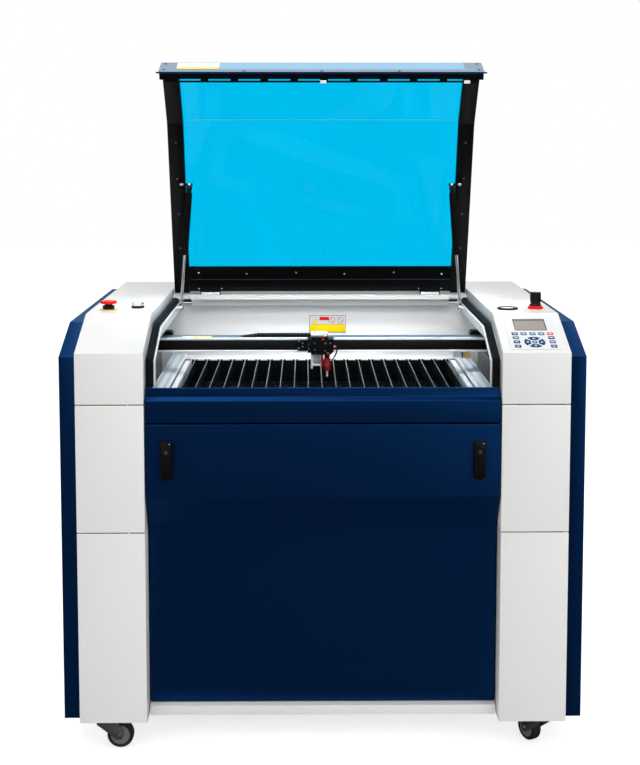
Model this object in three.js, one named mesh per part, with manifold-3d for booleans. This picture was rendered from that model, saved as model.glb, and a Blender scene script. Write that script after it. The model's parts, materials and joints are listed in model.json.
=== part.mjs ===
import * as THREE from 'three';
import { mergeVertices } from 'three/addons/utils/BufferGeometryUtils.js';
import Module from 'manifold-3d';

// Floor-standing CO2 laser engraver with its lid open. Millimetres, +Z up, front towards -Y.
// Shapes are laid out with y = 0 on the front face and z = 0 on the floor, and outlines in the
// side view are lists of [y, z]. DEPTH_CENTRE then puts the origin under the middle of the
// object, on the floor.

// ---- cabinet ----
const BODY_WIDTH = 1200;
const BODY_DEPTH = 895;
const BASE_HEIGHT = 80;
const FOLD_HEIGHT = 940;
const DECK_HEIGHT = 1008;
const SLOPE_RUN = 174;
const COLUMN_OUTER = 560;
const COLUMN_INNER = 405;
const SEAM_HEIGHTS = [527, 822];
const SEAM_GAP = 2;
const SHEET = 3;
const GAP = 0.4;
const PANEL_SETBACK = 28;
const PANEL_FOLD_HEIGHT = 928;
const PANEL_TOP_HEIGHT = 987;
const PANEL_TOP_START = 184;
const COVER_FLANGE = 60;
const REAR_EDGE_HEIGHT = DECK_HEIGHT - COVER_FLANGE;
const RIM_FLANGE = 28;
const RIM_OFFSET = 32.4;
const SEAL_OFFSET = 21;
const RIM_INNER = 381;
const RIM_LIP = 20;
const SEAL_INNER = 385;
const SEAL_OUTER = 403;

// ---- front: apron and door ----
const LEDGE_HEIGHT = 858;
const LEDGE_BACK = 22;
const LEDGE_RETURN = 12;
const APRON_STEP_HEIGHT = 838;
const APRON_STEP_DEPTH = 14;
const APRON_BOTTOM = 781;
const FRONT_HALF_WIDTH = 402;
const DOOR_TOP = 777;
const DOOR_KNEE_TOP = 609;
const DOOR_KNEE_BOTTOM = 526;
const DOOR_BOTTOM = 108;
const DOOR_RECESS = 55;
const DOOR_THICKNESS = 30;
const SILL_TOP = 106;
const LATCH_X = 354.5;
const LATCH_TOP = 739;
const LATCH_HEIGHT = 92;
const LATCH_WIDTH = 29;
const LATCH_THICKNESS = 13;

// ---- lid and gas struts ----
const LID_ANGLE = 70;
const HINGE_Y = 672;
const HINGE_Z = 997;
const HINGE_RADIUS = 5;
const HINGE_LENGTH = 50;
const HINGE_X = 300;
const CROSSBAR_HEIGHT = [984, 995];
const LID_HALF_WIDTH = 398;
const LID_SIDE_INNER = 355;
const LID_BOTTOM = 861.5;
const LID_REAR = 664;
const LID_LIP_HEIGHT = 24;
const REAR_BAR_WIDTH = 74;
const REAR_BAR_BOTTOM = 998;
const WINDOW_THICKNESS = 4;
const LID_FRAME_DEPTH = 20;
const VENT_COUNT = 10;
const VENT_PITCH = 73;
const VENT_OFFSET = 6;
const STRUT_LOWER_X = 370;
const STRUT_UPPER_X = 343;
const STRUT_LOWER = [555, 972];
const STRUT_REACH = 333;
const STRUT_DROP = 27;
const STRUT_CYLINDER = 164;
const STRUT_FITTING = 22;
const STRUT_ROD = 155;

// ---- work chamber and motion system ----
const CHAMBER_HALF_WIDTH = 438;
const CHAMBER_FLOOR = 556;
const CHAMBER_BACK = 698;
const CHAMBER_FRONT = 88;
const CHAMBER_MOUTH = 40;
const RAIL_Z = 868;
const RAIL_HEIGHT = 12;
const BEAM_Y = 320;
const BEAM_BOTTOM = 892;
const BEAM_HEIGHT = 36;
const BEAM_DEPTH = 45;
const BEAM_HALF_LENGTH = 412;
const HEAD_X = [-35, 29];
const HEAD_FRONT = 270;
const HEAD_TOP = 936;
const HEAD_BOTTOM = 893;
const LENS_X = 13;
const LENS_Y = 284;
const LENS_RADIUS = 8.7;
const LENS_BORE_TOP = 922;
const NOZZLE_TIP = 833;
const NOZZLE_LENGTH = 18;
const TABLE_TOP = 830;
const TABLE_FRONT = 94;
const TABLE_BACK = 640;
const TABLE_REAR_LAND = 62;
const TABLE_HALF_WIDTH = 400;
const GRID_HALF_WIDTH = 345;
const BLADE_COUNT = 21;
const BLADE_PITCH = 33.6;
const BLADE_HEIGHT = 32;

// ---- rear ----
const TUBE_RADIUS = 40;
const TUBE_LENGTH = 980;
const TUBE_Y = 800;
const TUBE_Z = 905;
const DUCT_RADIUS = 75;
const DUCT_LENGTH = 50;
const DUCT_Z = 650;

// ---- controls ----
const STOP_AT = [-516, 244];
const START_AT = [-450, 282];
const SELECTOR_AT = [520, 257];
const KEYPAD_X = [424.7, 540.7];
const KEYPAD_SLOPE = [13, 177];
const KEYPAD_THICKNESS = 1.6;

// ---- casters ----
const CASTER_X = 508;
const CASTER_FRONT = 58;
const CASTER_REAR = 835;
const CASTER_TOP = BASE_HEIGHT - 4;
const CASTER_PLATE = [42, 32];
const WHEEL_RADIUS = 31;
const WHEEL_WIDTH = 24;
const CASTER_TRAIL = 34;

const DEPTH_CENTRE = (BODY_DEPTH + GAP + DUCT_LENGTH - LATCH_THICKNESS) / 2;

const manifold = await Module();
manifold.setup();

// ---- booleans ----

function toSolid(geometry) {
  const bare = geometry.clone();
  bare.deleteAttribute('normal');
  bare.deleteAttribute('uv');
  const merged = mergeVertices(bare, 1e-4);
  const vertProperties = new Float32Array(merged.attributes.position.array);
  const triVerts = new Uint32Array(merged.index.array);
  return new manifold.Manifold(new manifold.Mesh({ numProp: 3, vertProperties, triVerts }));
}

function fromSolid(solid) {
  const mesh = solid.getMesh();
  const geometry = new THREE.BufferGeometry();
  geometry.setAttribute('position', new THREE.BufferAttribute(mesh.vertProperties, 3));
  geometry.setIndex(new THREE.BufferAttribute(mesh.triVerts, 1));
  return geometry;
}

function join(...geometries) {
  return fromSolid(geometries.map(toSolid).reduce((whole, piece) => whole.add(piece)));
}

function cut(geometry, ...tools) {
  return fromSolid(tools.map(toSolid).reduce((whole, tool) => whole.subtract(tool), toSolid(geometry)));
}

// ---- basic shapes ----

function box([x0, x1], [y0, y1], [z0, z1]) {
  const geometry = new THREE.BoxGeometry(x1 - x0, y1 - y0, z1 - z0);
  return geometry.translate((x0 + x1) / 2, (y0 + y1) / 2, (z0 + z1) / 2);
}

function extrude(points, depth) {
  const shape = new THREE.Shape(points.map(([u, v]) => new THREE.Vector2(u, v)));
  return new THREE.ExtrudeGeometry(shape, { depth, bevelEnabled: false });
}

// A side-view outline of [y, z] points, drawn out along X.
function prismX(points, [x0, x1]) {
  const turn = new THREE.Matrix4().makeBasis(
    new THREE.Vector3(0, 1, 0),
    new THREE.Vector3(0, 0, 1),
    new THREE.Vector3(1, 0, 0),
  );
  return extrude(points, x1 - x0).applyMatrix4(turn).translate(x0, 0, 0);
}

// A front-view outline of [x, z] points, drawn out along Y.
function prismY(points, [y0, y1]) {
  return extrude(points, y1 - y0).rotateX(Math.PI / 2).translate(0, y1, 0);
}

// A profile of [radius, height] points turned about the vertical axis at [x, y].
function turned(profile, [x, y], segments = 32) {
  const points = profile.map(([radius, height]) => new THREE.Vector2(radius, height));
  return new THREE.LatheGeometry(points, segments).rotateX(Math.PI / 2).translate(x, y, 0);
}

// A ring of rectangular section about the vertical axis at [x, y].
function ring([inner, outer], [z0, z1], at, segments = 32) {
  return turned([[inner, z0], [outer, z0], [outer, z1], [inner, z1], [inner, z0]], at, segments);
}

function disc(radius, [z0, z1], at, segments = 32) {
  return turned([[0, z0], [radius, z0], [radius, z1], [0, z1]], at, segments);
}

function rod(radius, start, end, segments = 16) {
  const from = new THREE.Vector3(...start);
  const along = new THREE.Vector3(...end).sub(from);
  const turn = new THREE.Quaternion().setFromUnitVectors(
    new THREE.Vector3(0, 1, 0),
    along.clone().normalize(),
  );
  const middle = from.addScaledVector(along, 0.5);
  return new THREE.CylinderGeometry(radius, radius, along.length(), segments)
    .applyQuaternion(turn)
    .translate(middle.x, middle.y, middle.z);
}

// ---- outlines ----

function rightNormal([u0, v0], [u1, v1]) {
  const length = Math.hypot(u1 - u0, v1 - v0);
  return [(v1 - v0) / length, (u0 - u1) / length];
}

// Moves a path to the right of its direction, with mitred corners.
function offsetPath(points, distance, closed = false) {
  const count = points.length;
  const wrap = (i) => (closed ? (i + count) % count : i);
  return points.map((point, i) => {
    const before = points[wrap(i - 1)];
    const after = points[wrap(i + 1)];
    const first = rightNormal(before ?? point, before ? point : after);
    const second = after ? rightNormal(point, after) : first;
    const scale = distance / (1 + first[0] * second[0] + first[1] * second[1]);
    return [point[0] + (first[0] + second[0]) * scale, point[1] + (first[1] + second[1]) * scale];
  });
}

// The closed outline of a folded sheet that lies between two offsets of a path.
function sheetOutline(path, near, far) {
  return [...offsetPath(path, near), ...offsetPath(path, far).reverse()];
}

// The cabinet's outer line in the side view: up the front, over the slope, back along the deck.
function cabinetLine(bottom, back) {
  return [[0, bottom], [0, FOLD_HEIGHT], [SLOPE_RUN, DECK_HEIGHT], [back, DECK_HEIGHT]];
}

// The same path, with both ends run on by an amount.
function stretched(path, amount) {
  const [start, end] = [path[0], path[path.length - 1]];
  const back = rightNormal(start, path[1]);
  const ahead = rightNormal(path[path.length - 2], end);
  return [
    [start[0] + back[1] * amount, start[1] - back[0] * amount],
    ...path.slice(1, -1),
    [end[0] - ahead[1] * amount, end[1] + ahead[0] * amount],
  ];
}

// A folded cover: a face along the path with a side flange at each end of its width.
function foldedCover(path, [x0, x1], flanges) {
  const longer = stretched(path, 1);
  const deepest = Math.max(...flanges);
  const blank = prismX(sheetOutline(path, 0, deepest), [x0, x1]);
  const hollow = prismX(sheetOutline(longer, SHEET, deepest + 1), [x0 + SHEET, x1 - SHEET]);
  const trims = flanges.flatMap((flange, side) => {
    const span = side === 0 ? [x0 - 1, x0 + SHEET + 1] : [x1 - SHEET - 1, x1 + 1];
    return flange < deepest ? [prismX(sheetOutline(longer, flange, deepest + 2), span)] : [];
  });
  return cut(blank, hollow, ...trims);
}

function mirrored(span, side) {
  return side < 0 ? [-span[1], -span[0]] : span;
}

// ---- materials ----

function finish(color, roughness, metalness = 0) {
  return new THREE.MeshStandardMaterial({ color, roughness, metalness });
}

const WHITE_PAINT = finish(0xe6e5e0, 0.45);
const NAVY_PAINT = finish(0x0b2a55, 0.35);
const GREY_PAINT = finish(0xd3d5d6, 0.5);
const BLACK_PAINT = finish(0x101214, 0.4);
const BLACK_PLASTIC = finish(0x16181a, 0.5);
const RUBBER = finish(0x141618, 0.85);
const ALUMINIUM = finish(0xc4c9ce, 0.3, 1);
const STEEL = finish(0x8b8f93, 0.4, 1);
const CHROME = finish(0xdfe2e5, 0.15, 1);
const RED_ANODISED = finish(0x8e1f22, 0.35, 0.6);
const RED_PLASTIC = finish(0xe2231a, 0.4);
const YELLOW_PLASTIC = finish(0xf0d321, 0.45);
const SILVER_PLASTIC = finish(0xe9edf2, 0.3);
const ACRYLIC = new THREE.MeshStandardMaterial({
  color: 0x10b7ee,
  roughness: 0.1,
  transparent: true,
  opacity: 0.5,
});
const GLASS = finish(0xdfe9ec, 0.1);
const KEYPAD = finish(0xe4e6e8, 0.5);

// ---- assembly ----

const machine = new THREE.Group();
machine.name = 'laser_engraver';

function add(name, geometry, material) {
  const flat = geometry.index ? geometry.toNonIndexed() : geometry;
  flat.translate(0, -DEPTH_CENTRE, 0);
  flat.computeVertexNormals();
  const mesh = new THREE.Mesh(flat, material);
  mesh.name = name;
  machine.add(mesh);
}

const SIDES = [['left', -1], ['right', 1]];

// ---- cabinet pieces ----

function baseFrame() {
  const [front, back] = [COVER_FLANGE + 2, BODY_DEPTH - 4];
  const half = COLUMN_OUTER - GAP;
  const tray = box([-half, half], [front, back], [BASE_HEIGHT, SILL_TOP]);
  const hollow = box(
    [-half + SHEET, half - SHEET],
    [front + SHEET, back - SHEET],
    [BASE_HEIGHT + SHEET, SILL_TOP + 1],
  );
  const sill = box([-FRONT_HALF_WIDTH, FRONT_HALF_WIDTH], [34, front + 1], [BASE_HEIGHT + 4, SILL_TOP]);
  const plates = casterPlaces().map(({ x, y }) => box(
    [x - CASTER_PLATE[0], x + CASTER_PLATE[0]],
    [y - CASTER_PLATE[1], y + CASTER_PLATE[1]],
    [CASTER_TOP, BASE_HEIGHT + 1],
  ));
  return join(cut(tray, hollow), sill, ...plates);
}

function sidePanel(side) {
  const outline = [
    [PANEL_SETBACK, BASE_HEIGHT],
    [PANEL_SETBACK, PANEL_FOLD_HEIGHT],
    [PANEL_TOP_START, PANEL_TOP_HEIGHT],
    [BODY_DEPTH, PANEL_TOP_HEIGHT],
    [BODY_DEPTH, BASE_HEIGHT],
  ];
  const outer = BODY_WIDTH / 2;
  const pan = prismX(outline, mirrored([COLUMN_OUTER + 2, outer], side));
  const hollow = prismX(offsetPath(outline, SHEET, true), mirrored([COLUMN_OUTER + 1, outer - SHEET], side));
  return cut(pan, hollow);
}

function columnCovers(label, side) {
  const span = mirrored([COLUMN_INNER, COLUMN_OUTER], side);
  const [low, high] = SEAM_HEIGHTS;
  const flanges = [COVER_FLANGE, COVER_FLANGE];
  const rimFlanges = side < 0 ? [COVER_FLANGE, RIM_FLANGE] : [RIM_FLANGE, COVER_FLANGE];
  const half = SEAM_GAP / 2;
  add(`cover_${label}_lower`, foldedCover([[0, BASE_HEIGHT], [0, low - half]], span, flanges), WHITE_PAINT);
  add(`cover_${label}_middle`, foldedCover([[0, low + half], [0, high - half]], span, flanges), WHITE_PAINT);
  const upperLine = [...cabinetLine(high + half, BODY_DEPTH), [BODY_DEPTH, REAR_EDGE_HEIGHT]];
  add(`cover_${label}_upper`, foldedCover(upperLine, span, rimFlanges), WHITE_PAINT);
}

function frontApron() {
  const line = [
    [CHAMBER_MOUTH - 6, LEDGE_HEIGHT - LEDGE_RETURN],
    [LEDGE_BACK, LEDGE_HEIGHT - LEDGE_RETURN],
    [LEDGE_BACK, LEDGE_HEIGHT],
    [APRON_STEP_DEPTH, LEDGE_HEIGHT],
    [APRON_STEP_DEPTH, APRON_STEP_HEIGHT],
    [0, APRON_STEP_HEIGHT - 7],
    [0, APRON_BOTTOM],
    [30, APRON_BOTTOM],
  ].reverse();
  return prismX(sheetOutline(line, 0, SHEET), [-FRONT_HALF_WIDTH, FRONT_HALF_WIDTH]);
}

function rearPanel() {
  const height = [BASE_HEIGHT + 6, REAR_EDGE_HEIGHT - SEAM_GAP];
  const plate = box([-COLUMN_OUTER, COLUMN_OUTER], [BODY_DEPTH - SHEET, BODY_DEPTH], height);
  return cut(plate, ductHole(BODY_DEPTH));
}

function ductHole(y) {
  return rod(DUCT_RADIUS + GAP, [0, y - 10, DUCT_Z], [0, y + 10, DUCT_Z], 40);
}

function rearDeck() {
  const front = CHAMBER_BACK;
  const line = [
    [front, DECK_HEIGHT - 14],
    [front, DECK_HEIGHT],
    [BODY_DEPTH, DECK_HEIGHT],
    [BODY_DEPTH, REAR_EDGE_HEIGHT],
  ];
  return prismX(sheetOutline(line, 0, SHEET), [-FRONT_HALF_WIDTH, FRONT_HALF_WIDTH]);
}

function ductCollar() {
  const inside = CHAMBER_BACK + SHEET + GAP - BODY_DEPTH;
  const flange = ring([DUCT_RADIUS - 4, DUCT_RADIUS + 15], [0, 4], [0, 0], 40);
  const pipe = ring([DUCT_RADIUS - 4, DUCT_RADIUS], [inside, DUCT_LENGTH], [0, 0], 40);
  return join(flange, pipe).rotateX(-Math.PI / 2).translate(0, BODY_DEPTH + GAP, DUCT_Z);
}

function mainsInlet() {
  const [x, z] = [-440, 190];
  const body = box([x - 30, x + 30], [BODY_DEPTH + GAP, BODY_DEPTH + 9], [z - 24, z + 24]);
  const recess = box([x - 14, x + 14], [BODY_DEPTH + 3, BODY_DEPTH + 10], [z - 10, z + 10]);
  return cut(body, recess);
}

// ---- work chamber ----

function chamberWall(side) {
  const rimLine = cabinetLine(LEDGE_HEIGHT + 2, CHAMBER_BACK + SHEET);
  const rim = prismX(
    sheetOutline(rimLine, RIM_OFFSET, RIM_OFFSET + SHEET),
    mirrored([RIM_INNER, CHAMBER_HALF_WIDTH + SHEET], side),
  );
  const top = offsetPath(rimLine, RIM_OFFSET + 1);
  const plate = prismX(
    [[top[0][0], CHAMBER_FLOOR], ...top, [CHAMBER_BACK + SHEET, CHAMBER_FLOOR]],
    mirrored([CHAMBER_HALF_WIDTH, CHAMBER_HALF_WIDTH + SHEET], side),
  );
  const [fold, lipBack] = [top[2], CHAMBER_BACK - GAP];
  const inset = RIM_LIP * SLOPE_RUN / (DECK_HEIGHT - FOLD_HEIGHT);
  const lip = prismX(
    [[fold[0] - inset, fold[1] - RIM_LIP], fold, [lipBack, fold[1]], [lipBack, fold[1] - RIM_LIP]],
    mirrored([RIM_INNER, RIM_INNER + SHEET], side),
  );
  const [y, z] = STRUT_LOWER;
  const ear = box(
    mirrored([RIM_INNER, RIM_INNER + SHEET], side),
    [y - 11, y + 11],
    [z - 8, DECK_HEIGHT - RIM_OFFSET - 1],
  );
  const pin = rod(4, [side * (RIM_INNER + 1), y, z], [side * (STRUT_LOWER_X - 6), y, z]);
  return join(rim, plate, lip, ear, pin);
}

function chamberTub() {
  const line = [
    [CHAMBER_MOUTH, LEDGE_HEIGHT - 4],
    [CHAMBER_MOUTH, SEAM_HEIGHTS[1] + 18],
    [CHAMBER_FRONT, SEAM_HEIGHTS[1] - 8],
    [CHAMBER_FRONT, CHAMBER_FLOOR],
    [CHAMBER_BACK, CHAMBER_FLOOR],
    [CHAMBER_BACK, 968],
  ];
  const half = CHAMBER_HALF_WIDTH - GAP;
  return cut(prismX(sheetOutline(line, 0, SHEET), [-half, half]), ductHole(CHAMBER_BACK));
}

function lidSeal(side) {
  const line = cabinetLine(LEDGE_HEIGHT + 2, HINGE_Y - 20);
  return prismX(sheetOutline(line, SEAL_OFFSET, RIM_OFFSET - GAP), mirrored([SEAL_INNER, SEAL_OUTER], side));
}

function rearCrossbar() {
  const inner = LID_SIDE_INNER - 3;
  const front = box([-inner, inner], [HINGE_Y - 22, HINGE_Y], CROSSBAR_HEIGHT);
  const back = box([-FRONT_HALF_WIDTH, FRONT_HALF_WIDTH], [LID_REAR + 3, CHAMBER_BACK - 2], CROSSBAR_HEIGHT);
  const web = box([-inner, inner], [LID_REAR + 6, CHAMBER_BACK - 2], [966, CROSSBAR_HEIGHT[0] + 1]);
  const seats = SIDES.map(([, side]) => {
    const x = side * HINGE_X;
    const half = HINGE_LENGTH / 2 + 1;
    return rod(HINGE_RADIUS + 1, [x - half, HINGE_Y, HINGE_Z], [x + half, HINGE_Y, HINGE_Z], 20);
  });
  return cut(join(front, back, web), ...seats);
}

function sideRail(side) {
  const span = mirrored([422, CHAMBER_HALF_WIDTH - GAP], side);
  return box(span, [CHAMBER_FRONT + 4, CHAMBER_BACK - 8], [RAIL_Z, RAIL_Z + RAIL_HEIGHT]);
}

// ---- lid ----

// Lid shapes are laid out closed, then turned up about the hinge pin.
function raised(geometry) {
  return geometry
    .translate(0, -HINGE_Y, -HINGE_Z)
    .rotateX(-THREE.MathUtils.degToRad(LID_ANGLE))
    .translate(0, HINGE_Y, HINGE_Z);
}

function raisedPoint([y, z]) {
  const angle = THREE.MathUtils.degToRad(LID_ANGLE);
  const [dy, dz] = [y - HINGE_Y, z - HINGE_Z];
  return [
    HINGE_Y + dy * Math.cos(angle) + dz * Math.sin(angle),
    HINGE_Z - dy * Math.sin(angle) + dz * Math.cos(angle),
  ];
}

function lidWindow() {
  const line = cabinetLine(LID_BOTTOM, LID_REAR);
  return raised(prismX(sheetOutline(line, 0, WINDOW_THICKNESS), [-LID_HALF_WIDTH, LID_HALF_WIDTH]));
}

const STRUT_PIN_CLOSED = [HINGE_Y - STRUT_REACH, HINGE_Z - STRUT_DROP];

function lidSideMember(side) {
  const line = cabinetLine(LID_BOTTOM, LID_REAR);
  const member = prismX(
    sheetOutline(line, WINDOW_THICKNESS + GAP, LID_FRAME_DEPTH),
    mirrored([LID_SIDE_INNER, LID_HALF_WIDTH - 2], side),
  );
  const [y, z] = STRUT_PIN_CLOSED;
  const ear = box(mirrored([368, 371], side), [y - 10, y + 10], [z - 8, DECK_HEIGHT - LID_FRAME_DEPTH + 2]);
  const pin = rod(4, [side * 369, y, z], [side * (STRUT_UPPER_X - 8), y, z]);
  return [member, ear, pin];
}

function lidFrame() {
  const half = LID_HALF_WIDTH - 2;
  const near = WINDOW_THICKNESS + GAP;
  const top = DECK_HEIGHT - near;
  const rearBar = box([-half, half], [LID_REAR - REAR_BAR_WIDTH, LID_REAR], [REAR_BAR_BOTTOM, top]);
  const lip = box([-half, half], [near, near + SHEET], [LID_BOTTOM, LID_BOTTOM + LID_LIP_HEIGHT]);
  const shelf = box([-half, half], [near, LID_FRAME_DEPTH], [LID_BOTTOM, LID_BOTTOM + SHEET]);
  const sealSide = SEAL_INNER - 3;
  const tongue = box([-sealSide, sealSide], [LID_FRAME_DEPTH - 1, 27], [LID_BOTTOM, LID_BOTTOM + SHEET]);
  const vents = Array.from({ length: VENT_COUNT }, (_, i) => {
    const x = (i - (VENT_COUNT - 1) / 2) * VENT_PITCH + VENT_OFFSET;
    return box([x - 27, x + 27], [18.5, 22.5], [LID_BOTTOM - 1, LID_BOTTOM + SHEET + 1]);
  });
  const members = SIDES.flatMap(([, side]) => lidSideMember(side));
  return raised(cut(join(rearBar, lip, shelf, tongue, ...members), ...vents));
}

function lidHinge(side) {
  const x = side * HINGE_X;
  const span = [x - HINGE_LENGTH / 2, x + HINGE_LENGTH / 2];
  const knuckle = rod(HINGE_RADIUS, [span[0], HINGE_Y, HINGE_Z], [span[1], HINGE_Y, HINGE_Z], 20);
  const leaf = box(span, [HINGE_Y - 32, HINGE_Y - 2], [CROSSBAR_HEIGHT[1] + GAP, REAR_BAR_BOTTOM - GAP]);
  return raised(join(knuckle, leaf));
}

// ---- gas struts ----

const strutTop = raisedPoint(STRUT_PIN_CLOSED);
const strutAxis = new THREE.Vector2(strutTop[0] - STRUT_LOWER[0], strutTop[1] - STRUT_LOWER[1]);
const strutInset = STRUT_LOWER_X - STRUT_UPPER_X;
const strutLength = Math.hypot(strutAxis.length(), strutInset);

// Strut shapes are laid out straight up from the lower pin, then leaned inward and back.
function leaned(geometry, side) {
  return geometry
    .rotateX(Math.atan2(-strutAxis.x, strutAxis.y))
    .translate(side * STRUT_LOWER_X, STRUT_LOWER[0], STRUT_LOWER[1]);
}

function leanedInward(geometry, side) {
  return geometry.rotateY(-side * Math.asin(strutInset / strutLength));
}

function strutRod(side) {
  const eye = cut(rod(8, [-4, 0, 0], [4, 0, 0], 24), rod(4.4, [-6, 0, 0], [6, 0, 0], 24));
  const shaft = leanedInward(disc(3.9, [6.5, STRUT_ROD], [0, 0], 20), side);
  return leaned(join(eye, shaft), side);
}

function strutCylinder(side) {
  const top = strutLength - STRUT_FITTING;
  const bottom = top - STRUT_CYLINDER;
  const fitting = strutLength - 7;
  const bore = 4.4;
  const profile = [
    [bore, bottom],
    [9, bottom],
    [9, top],
    [4.5, top + 3],
    [4.5, fitting],
    [0, fitting],
    [0, bottom + STRUT_CYLINDER - 12],
    [bore, bottom + STRUT_CYLINDER - 12],
    [bore, bottom],
  ];
  return leaned(leanedInward(turned(profile, [0, 0], 24), side), side);
}

// ---- door ----

function frontDoor() {
  const line = [
    [DOOR_RECESS + DOOR_THICKNESS - 2, DOOR_BOTTOM],
    [DOOR_RECESS, DOOR_BOTTOM],
    [DOOR_RECESS, DOOR_KNEE_BOTTOM],
    [0, DOOR_KNEE_TOP],
    [0, DOOR_TOP],
    [DOOR_THICKNESS - 2, DOOR_TOP],
  ];
  const shell = prismX(sheetOutline(line, 0, SHEET), [-FRONT_HALF_WIDTH, FRONT_HALF_WIDTH]);
  const edge = sheetOutline(line.slice(1, -1), 0, DOOR_THICKNESS - 2);
  const flanges = SIDES.map(([, side]) => {
    return prismX(edge, mirrored([FRONT_HALF_WIDTH - SHEET, FRONT_HALF_WIDTH], side));
  });
  return join(shell, ...flanges);
}

function doorLatch(side) {
  const half = LATCH_WIDTH / 2;
  const bottom = LATCH_TOP - LATCH_HEIGHT;
  const outline = [
    [-half, LATCH_TOP],
    [-half, bottom + 8],
    [0, bottom],
    [half, bottom + 8],
    [half, LATCH_TOP],
  ];
  return prismY(outline, [-LATCH_THICKNESS, -GAP]).translate(side * LATCH_X, 0, 0);
}

// ---- gantry and head ----

function gantryBeam() {
  const [front, back] = [BEAM_Y, BEAM_Y + BEAM_DEPTH];
  const [low, high] = [BEAM_BOTTOM, BEAM_BOTTOM + BEAM_HEIGHT];
  const outline = [
    [front, low],
    [front, low + 5],
    [front + 6, low + 5],
    [front + 6, high - 6],
    [front, high - 6],
    [front, high],
    [back, high],
    [back, low],
  ];
  return prismX(outline, [-BEAM_HALF_LENGTH, BEAM_HALF_LENGTH]);
}

function gantryEnd(side) {
  const [inner, outer] = [374, 420];
  const [back, top] = [402, 938];
  const plate = box(
    mirrored([BEAM_HALF_LENGTH + GAP, CHAMBER_HALF_WIDTH - 2], side),
    [302, back],
    [RAIL_Z + RAIL_HEIGHT + GAP, top],
  );
  const outline = [
    [inner, top - 26],
    [inner, top - 7],
    [inner + 2, top - 2],
    [inner + 7, top],
    [outer, top],
    [outer, top - 26],
  ];
  const housing = prismY(outline.map(([x, z]) => [side * x, z]), [BEAM_Y + BEAM_DEPTH + GAP, back]);
  return join(plate, housing);
}

function headCarriage() {
  const [left, right] = HEAD_X;
  const [stepLeft, stepRight] = [left + 9, right - 14];
  const step = 5;
  const chamfer = 8;
  const outline = [
    [stepLeft, HEAD_BOTTOM],
    [right - chamfer, HEAD_BOTTOM],
    [right, HEAD_BOTTOM + chamfer],
    [right, HEAD_TOP - step],
    [stepRight, HEAD_TOP - step],
    [stepRight, HEAD_TOP],
    [stepLeft, HEAD_TOP],
    [stepLeft, HEAD_TOP - step],
    [left, HEAD_TOP - step],
    [left, HEAD_BOTTOM + step],
    [stepLeft, HEAD_BOTTOM + step],
  ];
  const block = prismY(outline, [HEAD_FRONT, BEAM_Y - GAP]);
  const tab = box([left - 25, left + 1], [302, BEAM_Y - GAP], [HEAD_BOTTOM + step, HEAD_TOP - 12]);
  const bore = disc(LENS_RADIUS + GAP, [HEAD_BOTTOM - 1, LENS_BORE_TOP], [LENS_X, LENS_Y], 32);
  return cut(join(block, tab), bore);
}

function mirrorBracket() {
  const [left, right] = [-27, -3];
  const [front, back] = [280, 314];
  const top = HEAD_BOTTOM - GAP;
  const leg = box([left, left + 5], [front, back], [857, top]);
  const shelf = box([left, right], [front, back], [864, 869]);
  const web = box([left, right], [back - 8, back], [864, top]);
  return join(leg, shelf, web);
}

function lensTube() {
  const bottom = NOZZLE_TIP + NOZZLE_LENGTH;
  const top = LENS_BORE_TOP - 16;
  const profile = [
    [0, bottom],
    [LENS_RADIUS - 3, bottom],
    [LENS_RADIUS - 1, bottom + 3],
    [LENS_RADIUS - 1, bottom + 11],
    [LENS_RADIUS, bottom + 12],
    [LENS_RADIUS, top],
    [0, top],
  ];
  return turned(profile, [LENS_X, LENS_Y], 32);
}

function focusNozzle() {
  const top = NOZZLE_TIP + NOZZLE_LENGTH - GAP;
  const [tip, shank] = [1.6, 3];
  const profile = [
    [0, NOZZLE_TIP],
    [tip, NOZZLE_TIP],
    [shank, NOZZLE_TIP + 6],
    [shank, top],
    [0, top],
  ];
  return turned(profile, [LENS_X, LENS_Y], 24);
}

// ---- lift table ----

function tableFrame() {
  const rim = TABLE_TOP + 4;
  const low = TABLE_TOP - BLADE_HEIGHT + 2;
  const half = TABLE_HALF_WIDTH;
  const inner = GRID_HALF_WIDTH;
  const slab = box([-half, half], [TABLE_FRONT, TABLE_BACK], [low, rim]);
  const opening = [TABLE_FRONT + 20, TABLE_BACK - TABLE_REAR_LAND];
  const middle = box([-inner, inner], opening, [low - 1, rim + 1]);
  const sides = SIDES.map(([, side]) => {
    return box(mirrored([half - 37, half], side), [TABLE_FRONT, TABLE_BACK], [rim - 1, rim + 5]);
  });
  return join(cut(slab, middle), ...sides);
}

function bladeGrid() {
  const [front, back] = [TABLE_FRONT + 21, TABLE_BACK - TABLE_REAR_LAND - 1];
  const low = TABLE_TOP - BLADE_HEIGHT;
  const blades = Array.from({ length: BLADE_COUNT }, (_, i) => {
    const x = (i - (BLADE_COUNT - 1) / 2) * BLADE_PITCH;
    return box([x - 1.5, x + 1.5], [front, back], [low, TABLE_TOP]);
  });
  const half = GRID_HALF_WIDTH - 1;
  const combs = [front, (front + back) / 2, back - 4].map((y) => {
    return box([-half, half], [y, y + 4], [low, TABLE_TOP - 6]);
  });
  return join(...blades, ...combs);
}

// ---- controls ----

function stopBase() {
  const z = DECK_HEIGHT + GAP;
  const profile = [
    [10, z], [20.5, z], [20.5, z + 1.6], [14, z + 1.6], [14, z + 10], [10, z + 10], [10, z],
  ];
  return turned(profile, STOP_AT);
}

function stopHead() {
  const z = DECK_HEIGHT + 5;
  const neck = [[0, z], [9.4, z], [9.4, z + 10]];
  const dish = [[13, z + 10], [20, z + 13], [20, z + 15], [17, z + 17], [0, z + 17.5]];
  return turned([...neck, ...dish], STOP_AT);
}

function startRing() {
  return ring([13.4, 15.6], [DECK_HEIGHT + GAP, DECK_HEIGHT + 5.6], START_AT);
}

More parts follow.
